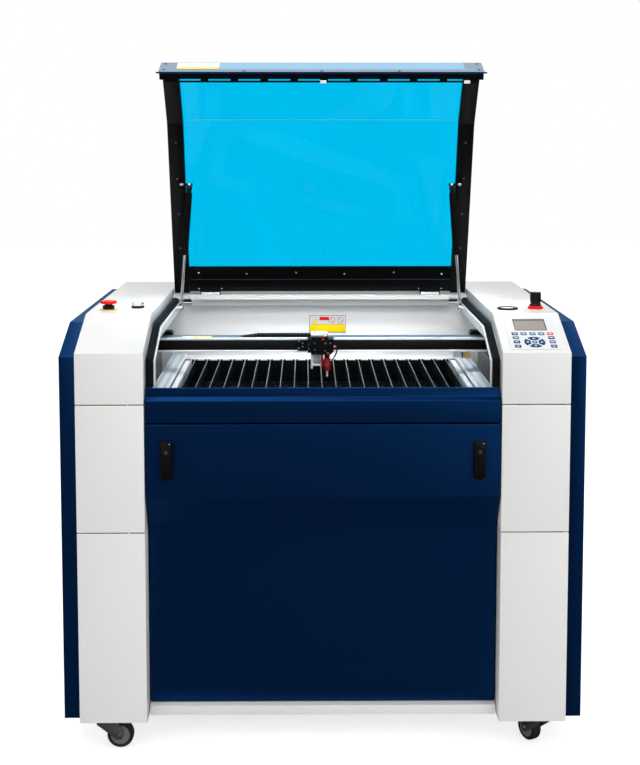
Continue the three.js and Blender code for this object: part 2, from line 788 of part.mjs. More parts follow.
function startButton() {
  const z = DECK_HEIGHT + 3;
  const profile = [
    [0, z], [13, z], [13, z + 5.4], [15.4, z + 5.4], [15.4, z + 8], [13.5, z + 9.5], [0, z + 9.5],
  ];
  return turned(profile, START_AT);
}

function selectorCollar() {
  const z = DECK_HEIGHT + GAP;
  return turned([[0, z], [18.5, z], [18.5, z + 4], [15, z + 7], [0, z + 7]], SELECTOR_AT);
}

function selectorKnob() {
  const z = DECK_HEIGHT + 2 * GAP + 7;
  const top = z + 33;
  const [x, y] = SELECTOR_AT;
  const profile = [
    [0, z], [14, z], [11.5, z + 6], [13, z + 8], [13, top - 1], [12, top], [0, top],
  ];
  const pointer = box([x - 1, x + 1], [y - 14.5, y], [z + 9, top - 2]);
  return join(turned(profile, SELECTOR_AT), pointer);
}

// The keypad film lies on the slope, a hair above the cover.
function controlPanel() {
  const length = Math.hypot(SLOPE_RUN, DECK_HEIGHT - FOLD_HEIGHT);
  const along = ([start, end]) => [start, end].map((s) => [
    (s / length) * SLOPE_RUN,
    FOLD_HEIGHT + (s / length) * (DECK_HEIGHT - FOLD_HEIGHT),
  ]);
  return prismX(sheetOutline(along(KEYPAD_SLOPE), -KEYPAD_THICKNESS, -GAP), KEYPAD_X);
}

// ---- rear machinery ----

function laserTube() {
  const half = TUBE_LENGTH / 2;
  const body = rod(TUBE_RADIUS, [-half, TUBE_Y, TUBE_Z], [half, TUBE_Y, TUBE_Z], 32);
  const nose = rod(TUBE_RADIUS - 14, [-half - 30, TUBE_Y, TUBE_Z], [-half + 1, TUBE_Y, TUBE_Z], 24);
  return join(body, nose);
}

function tubeShelf() {
  const shelf = box([-430, 430], [720, 880], [836, 840]);
  const saddles = [-280, 280].map((x) => cut(
    box([x - 15, x + 15], [TUBE_Y - 38, TUBE_Y + 38], [839, TUBE_Z - 6]),
    rod(TUBE_RADIUS + GAP, [x - 20, TUBE_Y, TUBE_Z], [x + 20, TUBE_Y, TUBE_Z], 32),
  ));
  return join(shelf, ...saddles);
}

// A sheet-metal case with a fan opening in the wall that faces the middle of the cabinet.
function powerSupply() {
  const [inner, outer] = [416, 548];
  const [front, back] = [150, 420];
  const [bottom, top] = [BASE_HEIGHT + SHEET + 2, 420];
  const wall = 2;
  const fan = [60, 90];
  const body = box([inner, outer], [front, back], [bottom, top]);
  const hollow = box(
    [inner + wall, outer - wall],
    [front + wall, back - wall],
    [bottom + wall, top - wall],
  );
  const opening = box(
    [inner - 1, inner + wall + 1],
    [front + fan[0], back - fan[0]],
    [bottom + fan[1], top - fan[1]],
  );
  return cut(body, hollow, opening);
}

// ---- casters ----

// Each place has the angle, from +X towards +Y, at which its wheel trails when at rest.
function casterPlaces() {
  return [
    { label: 'front_left', x: -CASTER_X, y: CASTER_FRONT, trail: 0 },
    { label: 'front_right', x: CASTER_X, y: CASTER_FRONT, trail: 120 },
    { label: 'rear_left', x: -CASTER_X, y: CASTER_REAR, trail: 20 },
    { label: 'rear_right', x: CASTER_X, y: CASTER_REAR, trail: 160 },
  ];
}

// Caster shapes are laid out trailing along +X, then swivelled about their stem.
function swivelled(geometry, { x, y, trail }) {
  return geometry.rotateZ(THREE.MathUtils.degToRad(trail)).translate(x, y, 0);
}

function casterFork(place) {
  const top = CASTER_TOP - GAP;
  const race = disc(23, [66, top], [0, 0], 24);
  const bridge = box([-20, 26], [-17, 17], [64, 68]);
  const leg = [
    [-20, 68],
    [26, 68],
    [CASTER_TRAIL + 9, 36],
    [CASTER_TRAIL + 5, 22],
    [CASTER_TRAIL - 7, 22],
    [-20, 58],
  ];
  const legs = [[-17, -14], [14, 17]].map((span) => prismY(leg, span));
  const axle = rod(4, [CASTER_TRAIL, -19, WHEEL_RADIUS], [CASTER_TRAIL, 19, WHEEL_RADIUS], 16);
  return swivelled(join(race, bridge, ...legs, axle), place);
}

function casterWheel(place) {
  const half = WHEEL_WIDTH / 2;
  const profile = [
    [4.5, -half], [24, -half], [WHEEL_RADIUS - 2, -half + 1], [WHEEL_RADIUS, -half + 4],
    [WHEEL_RADIUS, half - 4], [WHEEL_RADIUS - 2, half - 1], [24, half], [4.5, half], [4.5, -half],
  ];
  const wheel = turned(profile, [0, 0], 36).rotateX(Math.PI / 2);
  return swivelled(wheel.translate(CASTER_TRAIL, 0, WHEEL_RADIUS), place);
}

// ---- build ----

function buildCabinet() {
  add('base_frame', baseFrame(), WHITE_PAINT);
  for (const [label, side] of SIDES) {
    add(`side_panel_${label}`, sidePanel(side), NAVY_PAINT);
    columnCovers(label, side);
  }
  add('front_apron', frontApron(), NAVY_PAINT);
  add('rear_panel', rearPanel(), NAVY_PAINT);
  add('rear_deck', rearDeck(), WHITE_PAINT);
  add('exhaust_collar', ductCollar(), ALUMINIUM);
  add('mains_inlet', mainsInlet(), BLACK_PLASTIC);
}

function buildChamber() {
  for (const [label, side] of SIDES) {
    add(`chamber_wall_${label}`, chamberWall(side), WHITE_PAINT);
    add(`lid_seal_${label}`, lidSeal(side), RUBBER);
    add(`gantry_rail_${label}`, sideRail(side), STEEL);
  }
  add('chamber_tub', chamberTub(), GREY_PAINT);
  add('rear_crossbar', rearCrossbar(), WHITE_PAINT);
}

function buildLid() {
  add('lid_frame', lidFrame(), BLACK_PAINT);
  add('lid_window', lidWindow(), ACRYLIC);
  for (const [label, side] of SIDES) {
    add(`lid_hinge_${label}`, lidHinge(side), CHROME);
    add(`strut_rod_${label}`, strutRod(side), CHROME);
    add(`strut_cylinder_${label}`, strutCylinder(side), BLACK_PAINT);
  }
}

function buildDoor() {
  add('front_door', frontDoor(), NAVY_PAINT);
  for (const [label, side] of SIDES) {
    add(`door_latch_${label}`, doorLatch(side), BLACK_PLASTIC);
  }
}

function buildMotion() {
  add('gantry_beam', gantryBeam(), ALUMINIUM);
  for (const [label, side] of SIDES) {
    add(`gantry_end_${label}`, gantryEnd(side), BLACK_PAINT);
  }
  add('head_carriage', headCarriage(), BLACK_PAINT);
  add('mirror_bracket', mirrorBracket(), ALUMINIUM);
  add('lens_tube', lensTube(), RED_ANODISED);
  add('focus_nozzle', focusNozzle(), CHROME);
  add('table_frame', tableFrame(), ALUMINIUM);
  add('blade_grid', bladeGrid(), BLACK_PAINT);
}

function buildControls() {
  add('stop_base', stopBase(), YELLOW_PLASTIC);
  add('stop_head', stopHead(), RED_PLASTIC);
  add('start_ring', startRing(), BLACK_PLASTIC);
  add('start_button', startButton(), SILVER_PLASTIC);
  add('selector_collar', selectorCollar(), RED_PLASTIC);
  add('selector_knob', selectorKnob(), BLACK_PLASTIC);
  add('control_panel', controlPanel(), KEYPAD);
}

function buildRear() {
  add('laser_tube', laserTube(), GLASS);
  add('tube_shelf', tubeShelf(), GREY_PAINT);
  add('power_supply', powerSupply(), STEEL);
}

function buildCasters() {
  for (const place of casterPlaces()) {
    add(`caster_fork_${place.label}`, casterFork(place), STEEL);
    add(`caster_wheel_${place.label}`, casterWheel(place), RUBBER);
  }
}

buildCabinet();
buildChamber();
buildLid();
buildDoor();
buildMotion();
buildControls();
buildRear();
buildCasters();

export default machine;
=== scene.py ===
"""The looks of a floor-standing laser engraver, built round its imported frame. Metres, +Z up."""
import json
from math import atan2, cos, pi, radians, sin

import bmesh
import bpy
from mathutils import Matrix, Vector

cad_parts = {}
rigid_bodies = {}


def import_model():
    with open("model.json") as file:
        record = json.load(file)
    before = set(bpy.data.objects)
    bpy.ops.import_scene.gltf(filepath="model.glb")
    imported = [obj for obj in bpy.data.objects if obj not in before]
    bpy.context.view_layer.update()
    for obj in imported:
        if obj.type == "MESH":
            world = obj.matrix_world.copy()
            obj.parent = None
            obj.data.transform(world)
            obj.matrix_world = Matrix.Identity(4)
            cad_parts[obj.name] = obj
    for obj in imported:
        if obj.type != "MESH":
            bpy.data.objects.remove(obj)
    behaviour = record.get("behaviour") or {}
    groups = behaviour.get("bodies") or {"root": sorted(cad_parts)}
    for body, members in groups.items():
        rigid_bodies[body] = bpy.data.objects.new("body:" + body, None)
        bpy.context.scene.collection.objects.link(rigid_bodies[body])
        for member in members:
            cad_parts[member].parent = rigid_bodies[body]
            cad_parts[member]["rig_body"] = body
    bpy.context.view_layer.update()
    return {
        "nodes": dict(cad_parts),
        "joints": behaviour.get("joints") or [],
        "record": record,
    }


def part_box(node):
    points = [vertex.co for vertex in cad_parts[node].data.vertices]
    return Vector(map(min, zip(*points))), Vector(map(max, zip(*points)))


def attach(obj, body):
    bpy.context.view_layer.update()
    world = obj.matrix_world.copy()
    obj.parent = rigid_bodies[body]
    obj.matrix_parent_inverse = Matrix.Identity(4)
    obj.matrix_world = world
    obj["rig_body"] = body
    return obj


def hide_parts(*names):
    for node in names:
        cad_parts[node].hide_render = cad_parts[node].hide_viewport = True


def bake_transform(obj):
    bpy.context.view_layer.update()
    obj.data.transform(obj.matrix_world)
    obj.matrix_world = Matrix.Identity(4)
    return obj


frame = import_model()

SIDES = (("left", -1), ("right", 1))
MM = 0.001
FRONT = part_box("cover_left_lower")[0].y
DECK_TOP = 1008
FRONT_FOLD = 940
SLOPE_BACK = 174
FOLD_ANGLE = radians(28)
JOINTS = {joint["name"]: joint for joint in frame["joints"]}


def at(x, y, z):
    """A point in millimetres, with y counted back from the front face of the columns."""
    return Vector((x * MM, FRONT + y * MM, z * MM))


def show(made):
    bpy.context.scene.collection.objects.link(made)


# ---- camera

def make_camera():
    """Someone standing in front, with the raised lid and the casters both in the frame."""
    image_height = 765
    focal_pixels = 1357.57
    shift_pixels = -120
    data = bpy.data.cameras.new("camera")
    data.sensor_width = 36
    data.lens = focal_pixels / image_height * data.sensor_width
    data.shift_y = shift_pixels / image_height
    camera = bpy.data.objects.new("camera", data)
    camera.location = at(-37.8, -3021.0, 1418.9)
    camera.rotation_euler = (radians(90 - 5.188), 0, radians(-0.579))
    show(camera)
    bpy.context.scene.camera = camera


make_camera()


# ---- materials

def blank(name):
    made = bpy.data.materials.new(name)
    made.use_nodes = True
    return made, made.node_tree, made.node_tree.nodes["Principled BSDF"]


def add(tree, kind, inputs=None, **attributes):
    node = tree.nodes.new(kind)
    for key, value in attributes.items():
        setattr(node, key, value)
    for key, value in (inputs or {}).items():
        node.inputs[key].default_value = value
    return node


def scaled(colour, amount):
    return tuple(min(1.0, part * amount) for part in colour) + (1.0,)


def surface(name, colour, roughness, metallic=0.0, grain=(1, 1, 1), scale=500.0, depth=0.00004,
            mottle=0.05, uneven=0.05, specular=None, **sockets):
    """A finish with a slightly mottled colour, an uneven gloss and a fine relief."""
    made, tree, shader = blank(name)
    place = add(tree, "ShaderNodeTexCoord")
    stretch = add(tree, "ShaderNodeMapping", {"Scale": grain})
    fine = add(tree, "ShaderNodeTexNoise", {"Scale": scale, "Detail": 3.0})
    broad = add(tree, "ShaderNodeTexNoise", {"Scale": 4.0, "Detail": 3.0})
    tint = add(tree, "ShaderNodeMix", data_type="RGBA")
    tint.inputs[6].default_value = scaled(colour, 1 - mottle)
    tint.inputs[7].default_value = scaled(colour, 1 + mottle)
    gloss = add(tree, "ShaderNodeMapRange", {"To Min": roughness - uneven, "To Max": roughness + uneven})
    relief = add(tree, "ShaderNodeBump", {"Strength": 1.0, "Distance": depth})
    link = tree.links.new
    link(place.outputs["Object"], stretch.inputs["Vector"])
    link(stretch.outputs["Vector"], fine.inputs["Vector"])
    link(place.outputs["Object"], broad.inputs["Vector"])
    link(broad.outputs[0], tint.inputs[0])
    link(fine.outputs[0], gloss.inputs["Value"])
    link(fine.outputs[0], relief.inputs["Height"])
    link(tint.outputs[2], shader.inputs["Base Color"])
    link(gloss.outputs[0], shader.inputs["Roughness"])
    link(relief.outputs[0], shader.inputs["Normal"])
    shader.inputs["Metallic"].default_value = metallic
    if specular is not None:
        shader.inputs["Specular IOR Level"].default_value = specular
    for key, value in sockets.items():
        shader.inputs[key.replace("_", " ")].default_value = value
    return made


def clear_sheet(name, colour, roughness):
    """Transparent sheet with faint ripples and a slightly uneven tint."""
    made = surface(name, colour, roughness, scale=6.0, depth=0.00002, mottle=0.06, uneven=0.01,
        specular=0.12)
    shader = made.node_tree.nodes["Principled BSDF"]
    shader.inputs["Transmission Weight"].default_value = 1.0
    shader.inputs["IOR"].default_value = 1.14
    return made


BRUSHED_X = (0.02, 1, 1)
FINISH = {
    "white_paint": surface("white_paint", (0.82, 0.815, 0.80), 0.42, mottle=0.015, Coat_Weight=0.15),
    "navy_paint": surface("navy_paint", (0.003, 0.026, 0.10), 0.34, 0.7, mottle=0.06, specular=0.1,
                          Specular_Tint=(0.14, 0.62, 1, 1)),
    "grey_paint": surface("grey_paint", (0.86, 0.865, 0.87), 0.5, mottle=0.02),
    "black_paint": surface("black_paint", (0.0018, 0.002, 0.0024), 0.34, depth=0.00008, specular=0.12),
    "black_plastic": surface("black_plastic", (0.002, 0.002, 0.0024), 0.42, scale=900.0, depth=0.00006,
                             specular=0.2),
    "seal_rubber": surface("seal_rubber", (0.003, 0.004, 0.0048), 0.62, scale=700.0, depth=0.0001,
                           specular=0.1),
    "tyre_rubber": surface("tyre_rubber", (0.012, 0.012, 0.013), 0.6, scale=600.0, depth=0.0001),
    "bare_aluminium": surface("bare_aluminium", (0.86, 0.885, 0.91), 0.3, 0.3, BRUSHED_X, 900.0),
    "zinc_steel": surface("zinc_steel", (0.36, 0.34, 0.32), 0.42, 1.0, scale=300.0, mottle=0.12),
    "chrome": surface("chrome", (0.78, 0.79, 0.80), 0.14, 1.0, depth=0.00001, uneven=0.03),
    "red_anodised": surface("red_anodised", (0.34, 0.010, 0.012), 0.34, 0.3, scale=700.0),
    "red_plastic": surface("red_plastic", (0.86, 0.006, 0.003), 0.55, mottle=0.02, specular=0.12),
    "yellow_plastic": surface("yellow_plastic", (0.96, 0.70, 0.003), 0.38, mottle=0.02, specular=0.3),
    "silver_plastic": surface("silver_plastic", (0.86, 0.88, 0.90), 0.22, mottle=0.02),
    "blue_acrylic": clear_sheet("blue_acrylic", (0.0, 0.52, 0.865), 0.02),
    "tube_glass": clear_sheet("tube_glass", (0.9, 0.96, 0.97), 0.02),
    "keypad_film": surface("keypad_film", (0.80, 0.81, 0.82), 0.4, mottle=0.012),
}
NAVY_KEY = surface("navy_key", (0.005, 0.052, 0.15), 0.6, specular=0.08)
BLUE_GREY_KEY = surface("blue_grey_key", (0.07, 0.16, 0.27), 0.6, specular=0.08)
RED_KEY = surface("red_key", (0.62, 0.06, 0.04), 0.38)
PALE_MARK = surface("pale_mark", (0.78, 0.80, 0.83), 0.4)
SCREEN = surface("screen", (0.30, 0.27, 0.25), 0.22, scale=1400.0, mottle=0.05)
SCREEN_BAR = surface("screen_bar", (0.10, 0.095, 0.09), 0.22, scale=1400.0, mottle=0.05)
BLANK_LABEL = surface("blank_label", (0.84, 0.84, 0.83), 0.4, mottle=0.02)
KEYPAD_FIELD = surface("keypad_field", (0.77, 0.775, 0.78), 0.45, mottle=0.012)
# Pale blue for painted light seen through the lid strip's clear acrylic, and for a painted highlight along
# the window's bend.
PAINTED_LIGHT_BLUE = surface("painted_light_blue", (0.19, 0.42, 0.62), 0.35, mottle=0.02, specular=0.2)
# Grey-blue for the black metal border of the lid strip: a painted reflection.
PAINTED_REFLECTION_GREY = surface("painted_reflection_grey", (0.145, 0.225, 0.31), 0.35, mottle=0.04, specular=0.2)
BRASS = surface("brass", (0.80, 0.52, 0.16), 0.25, 1.0, scale=300.0)
# Blue-grey metal for the beam's top face; its blue is a painted reflection.
PAINTED_SHEEN_BLUE = surface("painted_sheen_blue", (0.20, 0.34, 0.48), 0.3, 0.8, BRUSHED_X, 900.0)
BLADE_STEEL = surface("blade_steel", (0.026, 0.031, 0.037), 0.34, 0.6, scale=200.0, mottle=0.35)
BLADE_EDGE = surface("blade_edge", (0.16, 0.185, 0.21), 0.3, 0.8, scale=200.0, mottle=0.3)
DARK_TRAY = surface("dark_tray", (0.002, 0.0024, 0.003), 0.8, mottle=0.2, specular=0.05)
# Pale blue-white steel for bands of painted sheen on the table frame.
PAINTED_SHEEN_STEEL = surface("painted_sheen_steel", (0.56, 0.68, 0.80), 0.3, 0.4, scale=300.0, mottle=0.06)
SHADED_WALL = surface("shaded_wall", (0.20, 0.205, 0.21), 0.5, mottle=0.05)
MIRROR_AMBER = surface("mirror_amber", (0.86, 0.52, 0.16), 0.25, 0.4, scale=300.0, mottle=0.1)
HUB_GREY = surface("hub_grey", (0.22, 0.225, 0.23), 0.45, mottle=0.05)
DARK_STEEL = surface("dark_steel", (0.10, 0.105, 0.115), 0.38, 0.9, scale=300.0, mottle=0.15)


# ---- outlines

def arc_corner(before, corner, after, radius, steps):
    """A short curve in place of one corner of an outline."""
    to_before, to_after = before - corner, after - corner
    reach = min(radius, to_before.length * 0.48, to_after.length * 0.48)
    start = corner + to_before.normalized() * reach
    end = corner + to_after.normalized() * reach
    for k in range(steps + 1):
        t = k / steps
        yield start * (1 - t) ** 2 + corner * (2 * t * (1 - t)) + end * t ** 2


def filleted(points, radius, steps=3, closed=True):
    """An outline with its corners rounded; an open one keeps its two ends."""
    corners = [Vector(point) for point in points]
    count = len(corners)
    rounded = []
    for i, corner in enumerate(corners):
        if not closed and i in (0, count - 1):
            rounded.append(corner)
            continue
        rounded.extend(arc_corner(corners[i - 1], corner, corners[(i + 1) % count], radius, steps))
    return rounded


def mm(points):
    """An outline given in millimetres."""
    return [Vector((u * MM, v * MM)) for u, v in points]


def rectangle(width, height, radius=0.0, steps=4):
    x, y = width / 2, height / 2
    corners = mm([(-x, -y), (x, -y), (x, y), (-x, y)])
    return filleted(corners, radius * MM, steps) if radius else corners


def circle(radius, count=32, start=0.0, sweep=2 * pi):
    closed = sweep > 2 * pi - 1e-6
    steps = count if closed else count - 1
    return [Vector((radius * cos(start + sweep * k / steps), radius * sin(start + sweep * k / steps)))
        for k in range(count)]


# ---- solids, sized in millimetres

def moved(bm, matrix):
    bmesh.ops.transform(bm, matrix=matrix, verts=bm.verts)
    return bm


def slab(outline, low, high, soft=0.0):
    """An outline filled between two heights, with the edge of its upper face rounded."""
    bm = bmesh.new()
    bottom = [bm.verts.new((point.x, point.y, low * MM)) for point in outline]
    top = [bm.verts.new((point.x, point.y, high * MM)) for point in outline]
    bm.faces.new(reversed(bottom))
    upper = bm.faces.new(top)
    count = len(outline)
    for i in range(count):
        j = (i + 1) % count
        bm.faces.new((bottom[i], bottom[j], top[j], top[i]))
    bmesh.ops.recalc_face_normals(bm, faces=bm.faces)
    if soft:
        bmesh.ops.bevel(bm, geom=list(upper.edges), offset=soft * MM, segments=2, profile=0.5,
            affect="EDGES")
    return bm


def block(width, depth, height, soft=0.0):
    """A box centred on the origin with every edge rounded."""
    bm = bmesh.new()
    bmesh.ops.create_cube(bm, size=1.0)
    bmesh.ops.scale(bm, vec=(width * MM, depth * MM, height * MM), verts=bm.verts)
    if soft:
        bmesh.ops.bevel(bm, geom=list(bm.edges), offset=soft * MM, segments=2, profile=0.5, affect="EDGES")
    return bm


def lathe(profile, segments=48, soft=0.0):
    """A profile of (radius, height) points turned about Z. It closes on the axis or on itself."""
    on_axis = profile[0][0] == 0
    points = mm(profile)
    if soft:
        points = filleted(points, soft * MM, closed=not on_axis)
    bm = bmesh.new()
    rings = []
    for point in points:
        if on_axis and point.x < 1e-7:
            rings.append([bm.verts.new((0, 0, point.y))] * segments)
            continue
        rings.append([bm.verts.new((spot.x, spot.y, point.y)) for spot in circle(point.x, segments)])
    pairs = list(zip(rings, rings[1:])) + ([] if on_axis else [(rings[-1], rings[0])])
    for lower, upper in pairs:
        for i in range(segments):
            j = (i + 1) % segments
            corners = list(dict.fromkeys((lower[i], lower[j], upper[j], upper[i])))
            if len(corners) > 2:
                bm.faces.new(corners)
    bmesh.ops.recalc_face_normals(bm, faces=bm.faces)
    return bm


def hose(points, radius, order=4):
    """A round tube along a smooth curve through the space near the points."""
    curve = bpy.data.curves.new("hose", "CURVE")
    curve.dimensions = "3D"
    curve.bevel_depth = radius
    curve.bevel_resolution = 4
    curve.use_fill_caps = True
    spline = curve.splines.new("NURBS")
    spline.points.add(len(points) - 1)
    for spot, point in zip(spline.points, points):
        spot.co = (*point, 1)
    spline.order_u = min(order, len(points))
    spline.use_endpoint_u = True
    spline.resolution_u = 6
    carrier = bpy.data.objects.new("hose", curve)
    mesh = bpy.data.meshes.new_from_object(carrier)
    bm = bmesh.new()
    bm.from_mesh(mesh)
    bmesh.ops.remove_doubles(bm, verts=bm.verts, dist=1e-6)
    bpy.data.objects.remove(carrier)
    bpy.data.curves.remove(curve)
    bpy.data.meshes.remove(mesh)
    return bm


# ---- placings

UNDERSIDE = Matrix.Rotation(pi, 4, "X")
FACE_FRONT = Matrix.Rotation(pi / 2, 4, "X")
FACE_BACK = Matrix.Rotation(-pi / 2, 4, "X")
FACE_RIGHT = Matrix.Rotation(pi / 2, 4, "Y")


def flat(x, y, z):
    """A placing with local Z straight up."""
    return Matrix.Translation(at(x, y, z))


def shift(x, y, z):
    """A move in millimetres along a placing's own axes."""
    return Matrix.Translation((x * MM, y * MM, z * MM))


def spin(turn):
    return Matrix.Rotation(turn, 4, "Z")


def tilt(degrees, axis):
    return Matrix.Rotation(radians(degrees), 4, axis)


def face_side(side):
    """Local Z outward from the left (-1) or right (1) side."""
    return Matrix.Rotation(side * pi / 2, 4, "Y")


def foot_of(node, centred_on=None):
    """A placing at the foot of a CAD node, on its own middle or on that of a node it lines up with."""
    low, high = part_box(centred_on or node)
    centre = (low + high) / 2
    return Matrix.Translation((centre.x, centre.y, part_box(node)[0].z))


# ---- pieces

def finished(mesh, angle=FOLD_ANGLE):
    """Smooth shading, with the sharper folds kept as edges."""
    bm = bmesh.new()
    bm.from_mesh(mesh)
    for face in bm.faces:
        face.smooth = True
    for edge in bm.edges:
        edge.smooth = len(edge.link_faces) == 2 and edge.calc_face_angle(0.0) < angle
    bm.to_mesh(mesh)
    bm.free()


def piece(name, solids, body, slot, replaces=(), material=None):
    """One object from a list of solids, riding on a body of the frame where one is given."""
    mesh = bpy.data.meshes.new(name)
    whole = bmesh.new()
    for solid in solids:
        solid.to_mesh(mesh)
        whole.from_mesh(mesh)
        solid.free()
    whole.to_mesh(mesh)
    whole.free()
    finished(mesh)
    mesh.materials.append(material or FINISH[slot])
    made = bpy.data.objects.new(name, mesh)
    show(made)
    if body:
        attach(made, body)
    if replaces:
        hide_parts(*replaces)
    return made


def single(name, solid, placing, *looks, **more):
    """A piece of one solid at one placing."""
    return piece(name, [moved(solid, placing)], *looks, **more)


def slot_of(node):
    rows = frame["record"]["subparts"]
    return next(row["material_slot"] for row in rows if row["node"] == node)


def refined(node, width, segments=2, material=None):
    """A copy of a CAD node with its edges rounded, which stands for the node."""
    source = frame["nodes"][node]
    bm = bmesh.new()
    bm.from_mesh(source.data)
    bmesh.ops.remove_doubles(bm, verts=bm.verts, dist=1e-6)
    bmesh.ops.dissolve_limit(bm, angle_limit=radians(0.5), verts=bm.verts, edges=bm.edges)
    made = piece(node + "_shell", [bm], source["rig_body"], slot_of(node), (node,), material)
    for polygon in made.data.polygons:
        polygon.use_smooth = True
    made.data.attributes.remove(made.data.attributes["sharp_edge"])
    bevel = made.modifiers.new("rounded edges", "BEVEL")
    bevel.width = width * MM
    bevel.segments = segments
    bevel.limit_method = "ANGLE"
    bevel.angle_limit = radians(12)
    bevel.harden_normals = True
    return made


def repaint_frame():
    """Every CAD node gets the procedural finish of its slot, shown or not."""
    for name, node in frame["nodes"].items():
        node.data.materials.clear()
        node.data.materials.append(FINISH[slot_of(name)])


# ---- fasteners

def screw(radius, height, segments=20):
    """A low domed head with a round socket, standing on the local XY plane."""
    return lathe([(0, height * 0.3), (radius * 0.42, height * 0.3), (radius * 0.42, height),
        (radius * 0.8, height), (radius, height * 0.55), (radius, 0), (0, 0)], segments)


def screws(name, places, body, radius, height=None, slot="chrome", material=None):
    """Screw heads at a list of placings, as one piece."""
    heads = [moved(screw(radius, height or radius * 0.6), placing) for placing in places]
    return piece(name, heads, body, slot, material=material)


# ---- cabinet

def cabinet():
    for label, _ in SIDES:
        for level in ("lower", "middle", "upper"):
            refined(f"cover_{label}_{level}", 1.4)
        refined(f"side_panel_{label}", 1.5)
        refined(f"chamber_wall_{label}", 0.8)
    for node, width in (("front_apron", 1.3), ("front_door", 1.4), ("rear_panel", 0.8), ("rear_deck", 1.2),
            ("base_frame", 1.0), ("chamber_tub", 0.8)):
        refined(node, width)
    refined("rear_crossbar", 2.0, 3)


# ---- controls

SLOPE_ANGLE = atan2(DECK_TOP - FRONT_FOLD, SLOPE_BACK)
TILT_UP = Matrix.Rotation(SLOPE_ANGLE, 4, "X")


def on_slope(x, along, above=0.0):
    """A placing on the sloping face: local Z is its normal and local Y runs up it."""
    foot = flat(x, 0, FRONT_FOLD)
    return foot @ TILT_UP @ shift(0, along, above)


def stop_button():
    base = foot_of("stop_base")
    disc = lathe([(10, 0), (20.5, 0), (20.5, 1.6), (10, 1.6)], 64, 0.5)
    single("stop_disc", disc, base, "root", "yellow_plastic", ("stop_base",))
    collar = lathe([(10, 1.7), (14, 1.7), (14, 4.2), (12.6, 4.6), (12.6, 5.6), (14, 6), (14, 10), (10, 10)],
        64, 0.4)
    ribs = [moved(block(1.2, 1.0, 3.2, 0.2), base @ spin(turn) @ shift(0, 14, 8))
        for turn in (2 * pi * k / 24 for k in range(24))]
    piece("stop_collar", [moved(collar, base)] + ribs, "root", "black_plastic")
    place = foot_of("stop_head")
    stem = lathe([(0, 0), (9.4, 0), (9.4, 10.6), (0, 10.6)], 48, 0.4)
    single("stop_stem", stem, place, "stop_button", "black_plastic")
    dish = lathe([(0, 10), (15, 10), (18.4, 10.8), (19.8, 12), (20, 14.4), (19.4, 16), (17.6, 17),
        (8, 17.5), (0, 17.4)], 72, 0.6)
    single("stop_dish", dish, place, "stop_button", "red_plastic", ("stop_head",))
    arrows = []
    for k in range(3):
        turn = place @ spin(2 * pi * k / 3)
        arc = circle(13.6 * MM, 14, radians(20), radians(62))
        inner = circle(12.4 * MM, 14, radians(20), radians(62))
        arrows.append(moved(slab(arc + inner[::-1], 16.9, 17.55), turn))
        tip = mm([(-1.6, 11.2), (1.6, 13), (-1.6, 14.8)])
        point = spin(radians(-8))
        arrows.append(moved(slab(tip, 16.9, 17.6), turn @ point))
    piece("stop_arrows", arrows, "stop_button", "white_paint", material=PALE_MARK)


def start_button():
    place = foot_of("start_ring")
    bezel = lathe([(13.4, 0), (15.6, 0), (15.6, 4.4), (14.8, 5.2), (13.4, 5.2)], 64, 0.5)
    single("start_bezel", bezel, place, "root", "black_plastic", ("start_ring",))
    place = foot_of("start_button")
    cap = lathe([(0, 0), (13, 0), (13, 5.4), (15.2, 5.4), (15.4, 8.4), (13.8, 10.2), (11.6, 10.2),
        (11.2, 9.6), (0, 9.6)], 64, 0.5)
    single("start_cap", cap, place, "start_button", "silver_plastic", ("start_button",), FINISH["chrome"])
    cap_lens = lathe([(0, 9.6), (11, 9.6), (10.4, 10.2), (0, 10.6)], 48, 0.3)
    single("start_lens", cap_lens, place, "start_button", "silver_plastic")


def selector_switch():
    place = foot_of("selector_collar")
    collar = lathe([(0, 0), (18.5, 0), (18.5, 3.4), (17.4, 4.8), (15.2, 6.8), (0, 6.8)], 64, 0.6)
    single("selector_ring", collar, place, "root", "red_plastic", ("selector_collar",))
    place = foot_of("selector_knob", "selector_collar")
    knob = lathe([(0, 0), (14, 0), (14, 2.6), (11.8, 5), (11.8, 7), (12.8, 9), (12.8, 31.4), (11.6, 32.8),
        (0, 32.8)], 64, 0.7)
    flutes = [moved(block(1.3, 1.3, 20, 0.4), place @ spin(2 * pi * k / 20) @ shift(0, 12.6, 20))
        for k in range(20)]
    piece("selector_grip", [moved(knob, place)] + flutes, "selector", "black_plastic", ("selector_knob",))
    single("selector_mark", block(1.6, 9, 0.5, 0.15), place @ shift(0, -6.4, 32.9), "selector",
        "white_paint", material=PALE_MARK)


KEY_ROW = 83.5
KEY_COLUMNS = (442.6, 462.9, 483.4, 503.8, 524.3)
KEY_ROWS = (64.9, 46.0, 26.5)
KEY_SIZE = (14.4, 13.0)
FILM_TOP = 1.6
PAD_CENTRE = (483.2, 45.1)


def key_faces(places, size, above, depth):
    return [moved(slab(rectangle(size[0], size[1], 1.6), 0, depth, 0.2), on_slope(x, along, above))
        for x, along in places]


def lay(name, solid, spot, material, slot="keypad_film"):
    """A print or key on the sloping panel, at (across, along, above)."""
    single(name, solid, on_slope(*spot), "root", slot, material=material)


